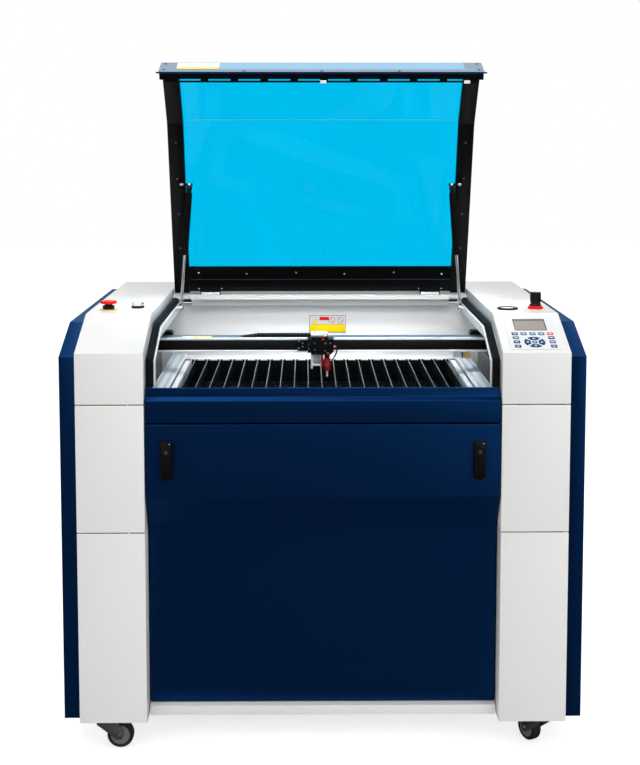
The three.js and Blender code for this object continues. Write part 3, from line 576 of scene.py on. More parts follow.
def keypad():
    low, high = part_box("control_panel")
    width = (high.x - low.x) / MM
    centre_x = (low.x + high.x) / 2 / MM
    film = slab(rectangle(width, 164, 4), 0, 1.2, 0.3)
    single("keypad_film", film, on_slope(centre_x, 95, 0.4), "root", "keypad_film", ("control_panel",))
    frame_line = slab(rectangle(width - 5, 158, 3), 0, 0.15)
    lay("keypad_field", frame_line, (centre_x, 95, FILM_TOP), KEYPAD_FIELD)

    window_x, window_s = 482.9, 126.8
    bezel = slab(rectangle(75, 55, 1.5), 0, 0.5, 0.2)
    lay("display_bezel", bezel, (window_x, window_s, FILM_TOP), SCREEN_BAR, "black_plastic")
    glass = slab(rectangle(70, 49, 0.8), 0, 0.35)
    lay("display_glass", glass, (window_x - 0.8, window_s - 0.8, FILM_TOP + 0.4), SCREEN, "black_plastic")
    bar = slab(rectangle(70, 7), 0, 0.2)
    lay("display_header", bar, (window_x - 0.8, window_s + 20.2, FILM_TOP + 0.7), SCREEN_BAR,
        "black_plastic")

    left, right = KEY_COLUMNS[0], KEY_COLUMNS[-1]
    navy = [(left, KEY_ROW), (left, KEY_ROWS[1]), (left, KEY_ROWS[2]), (right, KEY_ROWS[0]),
        (right, KEY_ROWS[2])]
    grey = [(x, KEY_ROW) for x in KEY_COLUMNS[1:4]] + [(left, KEY_ROWS[0]), (right, KEY_ROWS[1])]
    red = [(right, KEY_ROW)]
    for name, places, material in (("navy", navy, NAVY_KEY), ("grey", grey, BLUE_GREY_KEY),
            ("red", red, RED_KEY)):
        piece(f"keys_{name}", key_faces(places, KEY_SIZE, FILM_TOP, 0.5), "root", "keypad_film",
            material=material)
        piece(f"key_marks_{name}", key_faces(places, (8.2, 3.4), FILM_TOP + 0.45, 0.15), "root",
            "keypad_film", material=PALE_MARK)

    segments, arrows = [], []
    for k in range(4):
        turn = on_slope(*PAD_CENTRE, FILM_TOP) @ spin(pi / 2 * k)
        start, sweep = radians(45 + 7), radians(90 - 14)
        ring = circle(24 * MM, 16, start, sweep) + circle(9.4 * MM, 10, start + 0.06, sweep - 0.12)[::-1]
        segments.append(moved(slab(ring, 0, 0.5, 0.2), turn))
        tip = mm([(-4, 14), (4, 14), (0, 20)])
        arrows.append(moved(slab(tip, 0.45, 0.6), turn))
    centre_key = slab(circle(6.6 * MM, 28), 0, 0.5, 0.2)
    lay("centre_key", centre_key, (*PAD_CENTRE, FILM_TOP), BLUE_GREY_KEY)
    centre_mark = slab(rectangle(6.2, 3, 0.8), 0.45, 0.62)
    lay("centre_mark", centre_mark, (*PAD_CENTRE, FILM_TOP), PALE_MARK)
    piece("arrow_keys", segments, "root", "keypad_film", material=NAVY_KEY)
    piece("arrow_marks", arrows, "root", "keypad_film", material=PALE_MARK)


def deck_fittings():
    place = flat(450.6, 249, DECK_TOP)
    ring = lathe([(17.6, 0), (25.5, 0), (25.5, 2.6), (23.6, 4.6), (19.4, 4.6), (17.6, 3.0)], 64, 0.6)
    single("port_ring", ring, place, "root", "black_plastic")
    cap = lathe([(0, 0), (17.2, 0), (17.2, 2.2), (15.6, 3.2), (5, 3.8), (0, 3.8)], 64, 0.5)
    single("port_cap", cap, place, "root", "white_paint")
    cover = slab(rectangle(121, 154, 3), 0, 0.5, 0.15)
    single("deck_cover", cover, flat(485, 427, DECK_TOP), "root", "white_paint")
    corners = [flat(485 + sx * 54, 427 + sy * 70.5, DECK_TOP + 0.4) for sx in (-1, 1) for sy in (-1, 1)]
    screws("deck_cover_screws", corners, "root", 2.4, slot="white_paint", material=PALE_MARK)
    lamp = lathe([(0, 0), (3.2, 0), (3.2, 0.8), (2, 1.6), (0, 1.8)], 32, 0.3)
    single("status_lamp", lamp, flat(488.3, 216.5, DECK_TOP), "root", "yellow_plastic")


# ---- lid

LID_ANGLE = radians(JOINTS["lid_hinge"]["range_deg"][1])
HINGE = Vector(JOINTS["lid_hinge"]["pos_m"])
LID_UP = Matrix.Translation(HINGE) @ Matrix.Rotation(-LID_ANGLE, 4, "X") @ Matrix.Translation(-HINGE)


LID_BAR_BOTTOM = 998
RAISED_PIN = (343, 339, 970)


def under_lid(x, y, z):
    """A placing on the underside of the lid, given where the point is when the lid is closed."""
    return LID_UP @ flat(x, y, z) @ UNDERSIDE


def lid_hinge(label):
    """Three bright knuckles on a dark leaf."""
    low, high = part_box(f"lid_hinge_{label}")
    x = (low.x + high.x) / 2 / MM
    length = (high.x - low.x) / MM
    half, radius = length / 6 - 0.3, 4.6
    knuckles = []
    for k in range(3):
        centre = Matrix.Translation((0, HINGE.y, HINGE.z)) @ shift(x + (k - 1) * length / 3, -0.8, 1.0)
        barrel = lathe([(0, -half), (radius, -half), (radius, half), (0, half)], 40, 0.6)
        knuckles.append(moved(barrel, centre @ FACE_RIGHT))
    piece(f"hinge_barrel_{label}", knuckles, "lid", "chrome", (f"lid_hinge_{label}",),
        FINISH["bare_aluminium"])
    leaf = block(length + 6, 34, 1.0, 0.3)
    single(f"hinge_leaf_{label}", leaf, LID_UP @ flat(x, 657, 998.2), "lid", "black_paint")


def lid_details():
    refined("lid_frame", 1.0)
    refined("lid_window", 0.5)
    for label, _ in SIDES:
        lid_hinge(label)
    spots = [(-386, 928), (-386, 880), (386, 928), (386, 880), (-190, 868), (0, 868), (190, 868)]
    strip = [LID_UP @ flat(x, 0, z) @ FACE_FRONT for x, z in spots]
    screws("lid_strip_screws", strip, "lid", 4.2, 1.6, material=DARK_STEEL)
    # The lid's front strip: its black metal border is painted grey-blue as a painted reflection, and its
    # middle is painted pale blue as painted light seen through the clear acrylic.
    bands = {"strip_painted_light": (PAINTED_LIGHT_BLUE, [((0, 911), (704, 54))]),
             "strip_border_painted_reflection": (PAINTED_REFLECTION_GREY, [((0, 873), (796, 22)), ((-375, 911), (46, 54)),
                                           ((375, 911), (46, 54))]),
             "lid_label_upper": (BLANK_LABEL, [((-304, 916), (104, 34))]),
             "lid_label_lower": (FINISH["yellow_plastic"], [((-304, 892), (104, 14))])}
    for name, (material, fields) in bands.items():
        lift = 0.45 if "label" in name else 0.1
        sheets = [moved(slab(rectangle(width, height, 1), 0, 0.3), LID_UP @ flat(x, -lift, z) @ FACE_FRONT)
            for (x, z), (width, height) in fields]
        piece(name, sheets, "lid", "blue_acrylic", material=material)
    # A pale blue line along the window's bend: a painted highlight.
    bend = block(700, 1.2, 0.8, 0.3)
    single("window_bend_highlight", bend, LID_UP @ flat(0, 171.5, 1002.6), "lid", "blue_acrylic", material=PAINTED_LIGHT_BLUE)
    single("lid_bar_seam", block(786, 1.6, 1.0, 0.3), under_lid(0, 628, LID_BAR_BOTTOM), "lid",
        "black_paint", material=DARK_STEEL)
    spots = [(-330, 608), (-200, 612), (-66, 608), (66, 612), (200, 608), (330, 612)]
    bar = [under_lid(x, y, LID_BAR_BOTTOM) for x, y in spots]
    screws("lid_bar_screws", bar, "lid", 2.6, 1.0)
    members = [under_lid(side * 376, y, 988) for side in (-1, 1) for y in (230, 330, 430, 530)]
    screws("lid_member_screws", members, "lid", 3.0, 1.2, material=DARK_STEEL)
    hinge_screws = [under_lid(side * 300 + dx, 656, LID_BAR_BOTTOM) for side in (-1, 1) for dx in (-31, 31)]
    screws("hinge_screws", hinge_screws, "lid", 1.8, 0.8)
    catches = [moved(block(15, 8, 2.0, 0.9), LID_UP @ flat(x, 25, 861.0)) for x in (4, 356)]
    piece("lid_catches", catches, "lid", "silver_plastic")
    single("strip_edge", block(808, 4.2, 0.5, 0.1), LID_UP @ flat(0, 2, 861.8), "lid", "blue_acrylic",
        material=NAVY_KEY)


def ball_stud(radius, shank, length):
    """A ball on a stepped shank along local Z, with its ball at the origin."""
    turns = [pi * 0.86 * k / 10 for k in range(11)]
    arc = [(radius * sin(turn), -radius * cos(turn)) for turn in turns]
    return lathe(arc + [(shank, radius), (shank, length * 0.6), (shank * 1.7, length * 0.62),
        (shank * 1.7, length), (0, length)], 32)


def gas_struts():
    for label, side in SIDES:
        rod_body, cylinder_body = f"strut_rod_{label}", f"strut_cylinder_{label}"
        low_pin = Vector(JOINTS[f"strut_{label}_swing"]["pos_m"])
        along = Vector(JOINTS[f"strut_{label}_stroke"]["axis"]).normalized()
        refined(rod_body, 0.5, 2)
        refined(cylinder_body, 0.8, 3)
        outward = face_side(side)
        single(f"strut_foot_{label}", ball_stud(5.6, 2.4, 20), Matrix.Translation(low_pin) @ outward,
            "root", "chrome")
        socket = lathe([(0, -8), (5.4, -7), (7.2, -3), (7.2, 4), (5.0, 8), (4.4, 18), (0, 18)], 32, 0.8)
        lean = along.to_track_quat("Z", "Y").to_matrix().to_4x4()
        single(f"strut_socket_{label}", socket, Matrix.Translation(low_pin) @ lean, rod_body, "chrome")
        top = raised_pin(side)
        single(f"strut_top_stud_{label}", ball_stud(5.6, 2.6, 26), Matrix.Translation(top) @ outward, "lid",
            "chrome")
        tip = lathe([(0, -16), (6.2, -16), (6.6, -4), (8.2, 0), (6, 6), (0, 7)], 32, 0.8)
        single(f"strut_tip_{label}", tip, Matrix.Translation(top - along * 10 * MM) @ lean, cylinder_body,
            "black_plastic")


def raised_pin(side):
    """Where the upper end of a strut meets its pin on the raised lid."""
    x, y, z = RAISED_PIN
    return LID_UP @ at(side * x, y, z)


# ---- work chamber

def swept(path, section, width_at):
    """A closed (across, inward) section carried along a side-view path of (y, z) points."""
    spine = [Vector(point) for point in path]
    bm = bmesh.new()
    rings = []
    for i, spot in enumerate(spine):
        before = (spot - spine[i - 1]).normalized() if i else (spine[1] - spot).normalized()
        after = (spine[i + 1] - spot).normalized() if i + 1 < len(spine) else before
        first, second = Vector((before.y, -before.x)), Vector((after.y, -after.x))
        inward = (first + second) / (1 + first.dot(second))
        ring = []
        for across, depth in section:
            level = spot + inward * depth
            ring.append(bm.verts.new(at(width_at + across, level.x, level.y)))
        rings.append(ring)
    count = len(section)
    for lower, upper in zip(rings, rings[1:]):
        for i in range(count):
            j = (i + 1) % count
            bm.faces.new((lower[i], lower[j], upper[j], upper[i]))
    bm.faces.new(rings[0][::-1])
    bm.faces.new(rings[-1])
    bmesh.ops.recalc_face_normals(bm, faces=bm.faces)
    return bm


SEAL_FOOT = 858.6
SEAL_BACK = 652
SEAL_X = 394
CABINET_LINE = [(0, SEAL_FOOT), (0, FRONT_FOLD), (SLOPE_BACK, DECK_TOP), (SEAL_BACK, DECK_TOP)]


def lid_seals():
    """Rubber bulb strips under the lid's edge, each with a narrow ridge along its crown."""
    path = filleted(CABINET_LINE, 26, 8, closed=False)
    turns = [pi * k / 12 for k in range(13)]
    crown = [(8.8 * cos(turn), 28.5 - 6.6 * sin(turn)) for turn in turns]
    ridge = [(2.2, 21.9), (1.2, 21.1), (-1.2, 21.1), (-2.2, 21.9)]
    section = [(8.8, 32)] + crown[:6] + ridge + crown[7:] + [(-8.8, 32)]
    for label, side in SIDES:
        bulb = swept(path, section, side * SEAL_X)
        cap = lathe([(0, -5), (8.8, -5), (8.8, 1), (6, 5), (0, 6.6)], 32, 1.5)
        end = at(side * SEAL_X, SEAL_BACK, DECK_TOP - 27)
        piece(f"seal_bulb_{label}", [bulb, moved(cap, Matrix.Translation(end) @ FACE_FRONT @ UNDERSIDE)],
            "root", "seal_rubber", (f"lid_seal_{label}",))


def chamber_details():
    plate = flat(20.5, 698, 910) @ FACE_FRONT
    upper = slab(rectangle(98, 23, 1), 0, 0.8, 0.2)
    lower = slab(rectangle(98, 22, 1), 0, 0.8, 0.2)
    single("notice_upper", upper, plate @ shift(0, 11.7, 0), "root", "white_paint", material=BLANK_LABEL)
    single("notice_lower", lower, plate @ shift(0, -11.2, 0), "root", "yellow_plastic")
    border = slab(rectangle(101, 49, 1), 0, 0.4)
    single("notice_border", border, plate @ shift(0, 0.3, 0), "root", "black_plastic", material=HUB_GREY)
    warning = slab(mm([(-41, 4), (-27, 4), (-34, 17)]), 0.8, 1.0)
    single("notice_triangle", warning, plate, "root", "yellow_plastic")
    rings = []
    for x in (12.5, 36):
        outline = lathe([(7.4, 0.8), (8.6, 0.8), (8.6, 1.0), (7.4, 1.0)], 40)
        stroke = moved(block(15, 1.2, 0.3), shift(0, 0, 0.9) @ spin(-0.8))
        rings += [moved(shape, plate @ shift(x, 11.5, 0)) for shape in (outline, stroke)]
    piece("notice_rings", rings, "root", "red_plastic", material=RED_KEY)
    block_size = rectangle(26, 9, 0.8)
    single("notice_block", slab(block_size, 0.8, 1.0), plate @ shift(-9, 16, 0), "root", "red_plastic")
    ear = [flat(side * 380.8, 555 + dy, 973) @ face_side(-side) for side in (-1, 1) for dy in (-8, 8)]
    screws("strut_ear_screws", ear, "root", 2.2)
    rail = [flat(side * 430, y, 880) for side in (-1, 1) for y in range(130, 690, 90)]
    screws("rail_screws", rail, "root", 3.0, 1.4, slot="zinc_steel", material=DARK_STEEL)
    # Dark grey sheets on the lower inner side walls: painted shade, for the shadow those walls lie in below
    # the rails.
    painted_shade_sheets = [moved(block(1.2, 590, 100, 0.4), flat(side * 436.6, 396, 824)) for side in (-1, 1)]
    piece("chamber_painted_shade", painted_shade_sheets, "root", "grey_paint", material=SHADED_WALL)
    for label, _ in SIDES:
        refined(f"gantry_rail_{label}", 1.2, 3)


# ---- gantry and head

BEAM_TOP = 928
BEAM_WIDTH = 822


def drag_chain():
    """Short links lying along the beam, thinner towards the tail."""
    links = []
    pitch, count = 9.0, 19
    for k in range(count):
        x = -31 - pitch * k
        height = 8.5 if k < count - 4 else 8.5 - 1.5 * (k - count + 5)
        centre = at(x, 338, BEAM_TOP + height / 2)
        links.append(moved(block(8.2, 23, height, 1.2), Matrix.Translation(centre)))
        for dy in (-11, 11):
            links.append(moved(block(10.6, 2.4, height * 0.6, 0.8),
                flat(x - pitch / 2, 338 + dy, BEAM_TOP + height / 2)))
    return links


def gantry():
    refined("gantry_beam", 0.9, 3)
    for label, _ in SIDES:
        refined(f"gantry_end_{label}", 1.2, 3)
    strip = block(BEAM_WIDTH, 5.0, 24.4, 0.5)
    single("beam_inlay", strip, flat(0, 323.4, 909.5), "gantry", "black_plastic")
    piece("drag_chain", drag_chain(), "gantry", "black_plastic")
    # A thin metal sheet over the beam's top, tinted blue-grey: the blue is a painted reflection on the top
    # face.
    top = slab(rectangle(BEAM_WIDTH, 38), 0, 0.35)
    single("beam_top_painted_sheen", top, flat(0, 345, BEAM_TOP), "gantry", "bare_aluminium", material=PAINTED_SHEEN_BLUE)
    white = slab(rectangle(27, 15, 0.6), 0, 0.3)
    yellow = slab(rectangle(46, 15, 0.6), 0, 0.3)
    single("beam_label_white", white, flat(-333, 336, BEAM_TOP + 0.4), "gantry", "white_paint",
        material=BLANK_LABEL)
    single("beam_label_yellow", yellow, flat(-296, 336, BEAM_TOP + 0.4), "gantry", "yellow_plastic")
    covers = [flat(side * 397, 376 + dy, 937.9) for side in (-1, 1) for dy in (0, 18)]
    screws("motor_cover_screws", covers, "gantry", 2.6, 1.2)
    mirror_mount()
    single("drive_belt", block(800, 1.6, 9, 0.3), flat(0, 366.6, 905), "gantry", "black_plastic")


def mirror_mount():
    """The beam mirror in its holder, hanging under the right end of the beam."""
    single("mirror_holder", block(19, 16, 15, 1.4), flat(338, 334, 884.3), "gantry", "bare_aluminium")
    single("mirror_post", block(3.4, 16, 17, 0.8), flat(351.4, 334, 883.3), "gantry", "zinc_steel",
        material=DARK_STEEL)
    disc = lathe([(0, 0), (8.6, 0), (8.6, 3.4), (7.8, 4.2), (0, 4.2)], 40, 0.4)
    single("mirror_disc", disc, head_front(362.6, 883, 330), "gantry", "chrome", material=MIRROR_AMBER)
    rim = lathe([(8.7, 0), (10, 0), (10, 4.6), (8.7, 4.6)], 40, 0.4)
    single("mirror_rim", rim, head_front(362.6, 883, 330), "gantry", "chrome")


def head_front(x, z, y=270.0):
    return flat(x, y, z) @ FACE_FRONT


def air_fitting(placing):
    """The bright body of a push-in fitting, pointing along local Z; the collet ring at its end is made by
    collet().
    """
    body = lathe([(0, 0), (3.6, 0), (3.6, 4), (3.0, 5), (0, 5)], 24, 0.3)
    return moved(body, placing)


def collet(placing):
    ring = lathe([(1.9, 5), (3.2, 5), (3.4, 7), (1.9, 7.4)], 24, 0.3)
    return moved(ring, placing)


def head():
    refined("head_carriage", 0.9, 3)
    refined("mirror_bracket", 0.6)
    cover = slab(filleted(mm([(-24, -17), (13, -17), (18, -12), (18, 12), (-24, 12), (-29, 7), (-29, -12)]),
        2 * MM, 3), 0, 2.2, 0.5)
    single("head_cover", cover, head_front(-3, 917), "head", "black_paint")
    bracket = block(40, 38, 8.4, 1.6)
    holes = [flat(x, 296, 944.7) for x in (-18, -4, 8)]
    single("head_top_bracket", bracket, flat(-6, 300, 940.6), "head", "bare_aluminium")
    screws("head_top_screws", holes, "head", 3.0, 1.6, material=DARK_STEEL)
    screws("head_screws_bright", [head_front(20.6, 921), head_front(8, 921, 267.8)]
        + [head_front(x, z, 302) for x, z in ((-56, 922), (-47, 917), (-47, 908.5), (-56, 904))], "head",
        2.5, 1.5)
    screws("head_screws_dark", [head_front(x, z, 267.8) for x, z in ((-17.5, 921), (-17, 905.6), (8, 903))],
        "head", 2.3, 1.2, material=DARK_STEEL)
    slots = [moved(slab(rectangle(4, 6.4, 1.9), 0, 0.5), head_front(-30.5, z)) for z in (919, 908.5)]
    piece("head_slots", slots, "head", "chrome", material=PALE_MARK)

    lean = tilt(35, "Y")
    sideways = tilt(80, "Y")
    spots = [flat(2.8, 276, 930) @ FACE_FRONT, flat(9.5, 279, 936.5) @ lean, flat(28, 284, 910) @ sideways]
    piece("air_fittings", [air_fitting(spot) for spot in spots], "head", "chrome")
    piece("air_collets", [collet(spot) for spot in spots], "head", "red_plastic")
    route = [at(*spot) for spot in ((34, 284, 910.5), (37.5, 284, 910), (38, 284, 902), (35, 284, 893),
        (31, 284, 885), (26, 284, 879))]
    tube = piece("air_hose", [hose(route, 1.7 * MM)], None, "black_plastic")
    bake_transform(tube)
    tail = flat(21.2, 284, 875.5) @ tilt(52, "Y")
    single("nozzle_fitting", lathe([(0, 0), (2.6, 0), (2.6, 6), (0, 6)], 24, 0.3), tail, "lens", "chrome")

    pointer = lathe([(0, 0), (1.6, 0), (3.2, 3), (3.2, 8), (2.7, 9), (3.4, 10), (3.4, 30), (0, 30)], 32,
        0.4)
    single("pointer_barrel", pointer, flat(0.6, 284, 862.5), "head", "red_anodised")
    single("pointer_lens", lathe([(0, -1.4), (1.5, -1.2), (1.6, 0.4), (0, 0.4)], 24), flat(0.6, 284, 862.5),
        "head", "chrome")
    clamp = lathe([(0, 0), (3.2, 0), (3.2, 5), (2.4, 6), (0, 6)], 24, 0.4)
    single("clamp_knob", clamp, head_front(14.5, 896.5), "head", "red_anodised")


def lens():
    place = foot_of("lens_tube")
    grooves = []
    for k in range(5):
        z = 13.5 + 2.2 * k
        grooves += [(8.7, z), (8.3, z + 0.5), (8.3, z + 1.1), (8.7, z + 1.6)]
    barrel = lathe([(0, 0), (5, 0), (7, 1.2), (8, 4), (8, 10.4), (8.7, 11.4)] + grooves
        + [(8.7, 27), (8.1, 27.6), (8.1, 28.4), (8.7, 29), (8.7, 31), (7.6, 32), (0, 32)], 56)
    single("lens_barrel", barrel, place, "lens", "red_anodised", ("lens_tube",))
    neck = lathe([(0, 32.1), (6.4, 32.1), (6.4, 35), (7.6, 35.6), (7.6, 38), (6.4, 38.6), (6.4, 54),
        (0, 54)], 56, 0.2)
    single("lens_neck", neck, place, "lens", "black_plastic")
    place = foot_of("focus_nozzle", "lens_tube")
    shank = lathe([(0, 5), (2.4, 5), (2.4, 13), (3.0, 14), (3.0, 17.6), (0, 17.6)], 32, 0.3)
    tip = lathe([(0, 0.6), (1.0, 0), (1.8, 0), (2.9, 2.6), (2.9, 5.2), (0, 5.2)], 32, 0.2)
    single("nozzle_shank", shank, place, "lens", "chrome", ("focus_nozzle",), FINISH["bare_aluminium"])
    single("nozzle_tip", tip, place, "lens", "chrome", material=BRASS)


# ---- lift table

BLADES = 21
BLADE_PITCH = 33.6
TRAY_TOP = 776
FRAME_TOP = 834.1


def side_sheet(outline, x, thickness):
    """A thin upright sheet from a side-view outline of (y, z) points."""
    bm = bmesh.new()
    sides = [[bm.verts.new(at(x + aside, y, z)) for y, z in outline]
        for aside in (-thickness / 2, thickness / 2)]
    bm.faces.new(sides[0][::-1])
    bm.faces.new(sides[1])
    count = len(outline)
    for i in range(count):
        j = (i + 1) % count
        bm.faces.new((sides[0][i], sides[0][j], sides[1][j], sides[1][i]))
    bmesh.ops.recalc_face_normals(bm, faces=bm.faces)
    return bm


def lift_table():
    refined("table_frame", 1.6, 3)
    front, back, low, top = 115, 576, 799, 829.4
    blade = [(front, low), (front, top - 5), (front + 5, top), (back - 6, top), (back, top - 6),
        (back, low)]
    edge = [(front + 5, top - 1), (front + 5, top + 0.6), (back - 6, top + 0.6), (back - 6, top - 1)]
    places = [(k - (BLADES - 1) / 2) * BLADE_PITCH for k in range(BLADES)]
    piece("knife_blades", [side_sheet(blade, x, 1.6) for x in places], "table", "black_paint",
        ("blade_grid",), BLADE_STEEL)
    piece("blade_edges", [side_sheet(edge, x, 1.9) for x in places], "table", "chrome", material=BLADE_EDGE)
    combs = [moved(block(688, 3, high - TRAY_TOP, 0.6), flat(0, y, (high + TRAY_TOP) / 2))
        for y, high in ((117, 821), (340, 796), (575.4, 829.6))]
    piece("blade_combs", combs, "table", "black_paint", material=DARK_TRAY)
    notches = [moved(block(4.4, 3, 6, 0.8), flat(x + dx, 575.4, 829.6)) for x in places
        for dx in (-4.6, 4.6)]
    piece("comb_notches", notches, "table", "black_paint", material=DARK_TRAY)
    tray = slab(rectangle(688, 452, 4), 0, 1.6, 0.4)
    single("crumb_tray", tray, flat(0, 340, 774), "table", "black_paint", material=DARK_TRAY)
    hole = lathe([(0, 0), (4.2, 0), (4.2, 0.5), (0, 0.5)], 12)
    holes = []
    for row in range(9):
        for column in range(24):
            spot = flat(-322 + 28 * column + 7 * (row % 2), 140 + 50 * row, TRAY_TOP - 0.3)
            holes.append(moved(hole.copy(), spot))
    hole.free()
    piece("tray_dimples", holes, "table", "black_paint", material=DARK_STEEL)
    walls = [moved(block(688, 1.6, 16, 0.4), flat(0, y, 783)) for y in (116, 565)]
    walls += [moved(block(1.6, 450, 16, 0.4), flat(x, 340, 783)) for x in (-343, 343)]
    piece("tray_walls", walls, "table", "black_paint", material=DARK_TRAY)
    # Dark strips and pads laid on the frame top stand for its grooves and pockets; their darkness is
    # painted shade of the recesses.
    grooves = [moved(block(4.6, 460, 0.5, 0.15), flat(side * 359.6, 335, FRAME_TOP)) for side in (-1, 1)]
    grooves += [moved(slab(rectangle(15, 26, 6), 0, 0.5), flat(side * 353, 560, 834)) for side in (-1, 1)]
    piece("frame_groove_shade", grooves, "table", "bare_aluminium", material=DARK_STEEL)
    # Pale bluish bands on the frame top: painted sheen and painted blue reflection, where light falls on
    # the frame.
    painted_sheen = [moved(block(7, 540, 0.4, 0.1), flat(side * x, 367, 839.1)) for side in (-1, 1)
        for x in (371, 390)]
    painted_sheen += [moved(block(690, 9, 0.4, 0.1), flat(0, 622, FRAME_TOP))]
    piece("frame_painted_sheen", painted_sheen, "table", "bare_aluminium", material=PAINTED_SHEEN_STEEL)
    fixings = [flat(side * 380, y, 839) for side in (-1, 1) for y in (110, 625)]
    screws("table_screws", fixings, "table", 2.6, 1.2, slot="zinc_steel")


# ---- door

def door_latches():
    for label, _ in SIDES:
        low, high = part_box(f"door_latch_{label}")
        x = (low.x + high.x) / 2 / MM
        z = (low.z + high.z) / 2 / MM
        half, tall = (high.x - low.x) / 2 / MM, (high.z - low.z) / 2 / MM
        place = flat(x, 0, z) @ FACE_FRONT
        outline = filleted(mm([(-half, tall), (-half, 9 - tall), (0, -tall), (half, 9 - tall),
            (half, tall)]), 4 * MM, 4)
        single(f"latch_plate_{label}", slab(outline, 0.2, 2.2, 0.6), place, "door", "black_plastic")
        inner = filleted(mm([(2 - half, tall - 1), (2 - half, 14 - tall), (0, 6 - tall),
            (half - 2, 14 - tall), (half - 2, tall - 1)]), 4 * MM, 5)
        grip = slab(inner, 2.4, 12.8, 2.6)
        single(f"latch_handle_{label}", grip, place, f"latch_{label}", "black_plastic",
            (f"door_latch_{label}",))
        lock = lathe([(0, 12.4), (4.4, 12.4), (4.4, 13.0), (1.2, 13.2), (0, 13.0)], 32, 0.2)
        single(f"latch_lock_{label}", lock, place @ shift(0, 22, 0), f"latch_{label}", "chrome",
            material=DARK_STEEL)
        screws(f"latch_screw_{label}", [place @ shift(8, tall - 5, 12.6)], f"latch_{label}", 1.6, 0.8)
        single(f"latch_rib_{label}", block(1.4, 34, 0.6, 0.2), place @ shift(0, -10, 12.9),
            f"latch_{label}", "black_plastic")


# ---- casters

CORNERS = [f"{depth}_{label}" for depth in ("front", "rear") for label, _ in SIDES]


def casters():
    for corner in CORNERS:
        fork_body, wheel_body = f"caster_{corner}", f"wheel_{corner}"
        refined(f"caster_fork_{corner}", 0.9, 3)
        stem = Vector(JOINTS[f"swivel_{corner}"]["pos_m"])
        hub = Vector(JOINTS[f"roll_{corner}"]["pos_m"])
        across = Vector(JOINTS[f"roll_{corner}"]["axis"]).normalized()
        roll = Matrix.Translation(hub) @ across.to_track_quat("Z", "Y").to_matrix().to_4x4()
        tyre = lathe([(21.5, -10.5), (28, -11.8), (30.6, -9), (31, -5), (31, 5), (30.6, 9), (28, 11.8),
            (21.5, 10.5)], 64, 1.0)
        single(f"tyre_{corner}", tyre, roll, wheel_body, "tyre_rubber", (f"caster_wheel_{corner}",))
        rim = lathe([(4.6, -11.6), (8.4, -11.6), (9.4, -8), (18.6, -7), (20, -10.6), (21.9, -10.6),
            (21.9, 10.6), (20, 10.6), (18.6, 7), (9.4, 8), (8.4, 11.6), (4.6, 11.6)], 64, 0.5)
        ribs = [moved(block(9.4, 1.6, 17, 0.5), roll @ spin(2 * pi * k / 8) @ shift(14, 0, 0))
            for k in range(8)]
        piece(f"hub_{corner}", [moved(rim, roll)] + ribs, wheel_body, "zinc_steel", material=HUB_GREY)
        nuts = []
        for end in (-1, 1):
            nut = slab(circle(5.6 * MM, 6), 0, 3.4, 0.6)
            nuts.append(moved(nut, roll @ shift(0, 0, end * 17.2)
                @ (Matrix.Identity(4) if end > 0 else UNDERSIDE)))
        piece(f"axle_nuts_{corner}", nuts, fork_body, "zinc_steel")
        seat = Matrix.Translation((stem.x, stem.y, 0))
        race = lathe([(0, 61), (21, 61), (24.6, 63.4), (25.4, 66.4), (22.8, 68.4), (22.8, 70.2), (25, 71.2),
            (25, 75.2), (0, 75.2)], 56, 0.7)
        single(f"swivel_race_{corner}", race, seat, fork_body, "zinc_steel")
        bolts = []
        for sx in (-1, 1):
            for sy in (-1, 1):
                head_place = seat @ shift(sx * 33, sy * 23, 76) @ UNDERSIDE
                bolts.append(moved(slab(circle(5.4 * MM, 6), 0, 3.6, 0.6), head_place))
        piece(f"plate_bolts_{corner}", bolts, "root", "zinc_steel")


# ---- rear and sides

BACK = 895.0
INLET_X, INLET_Z = -440, 190
COLLAR_Z = 650


def on_back(x, z, y=BACK):
    return flat(x, y, z) @ FACE_BACK


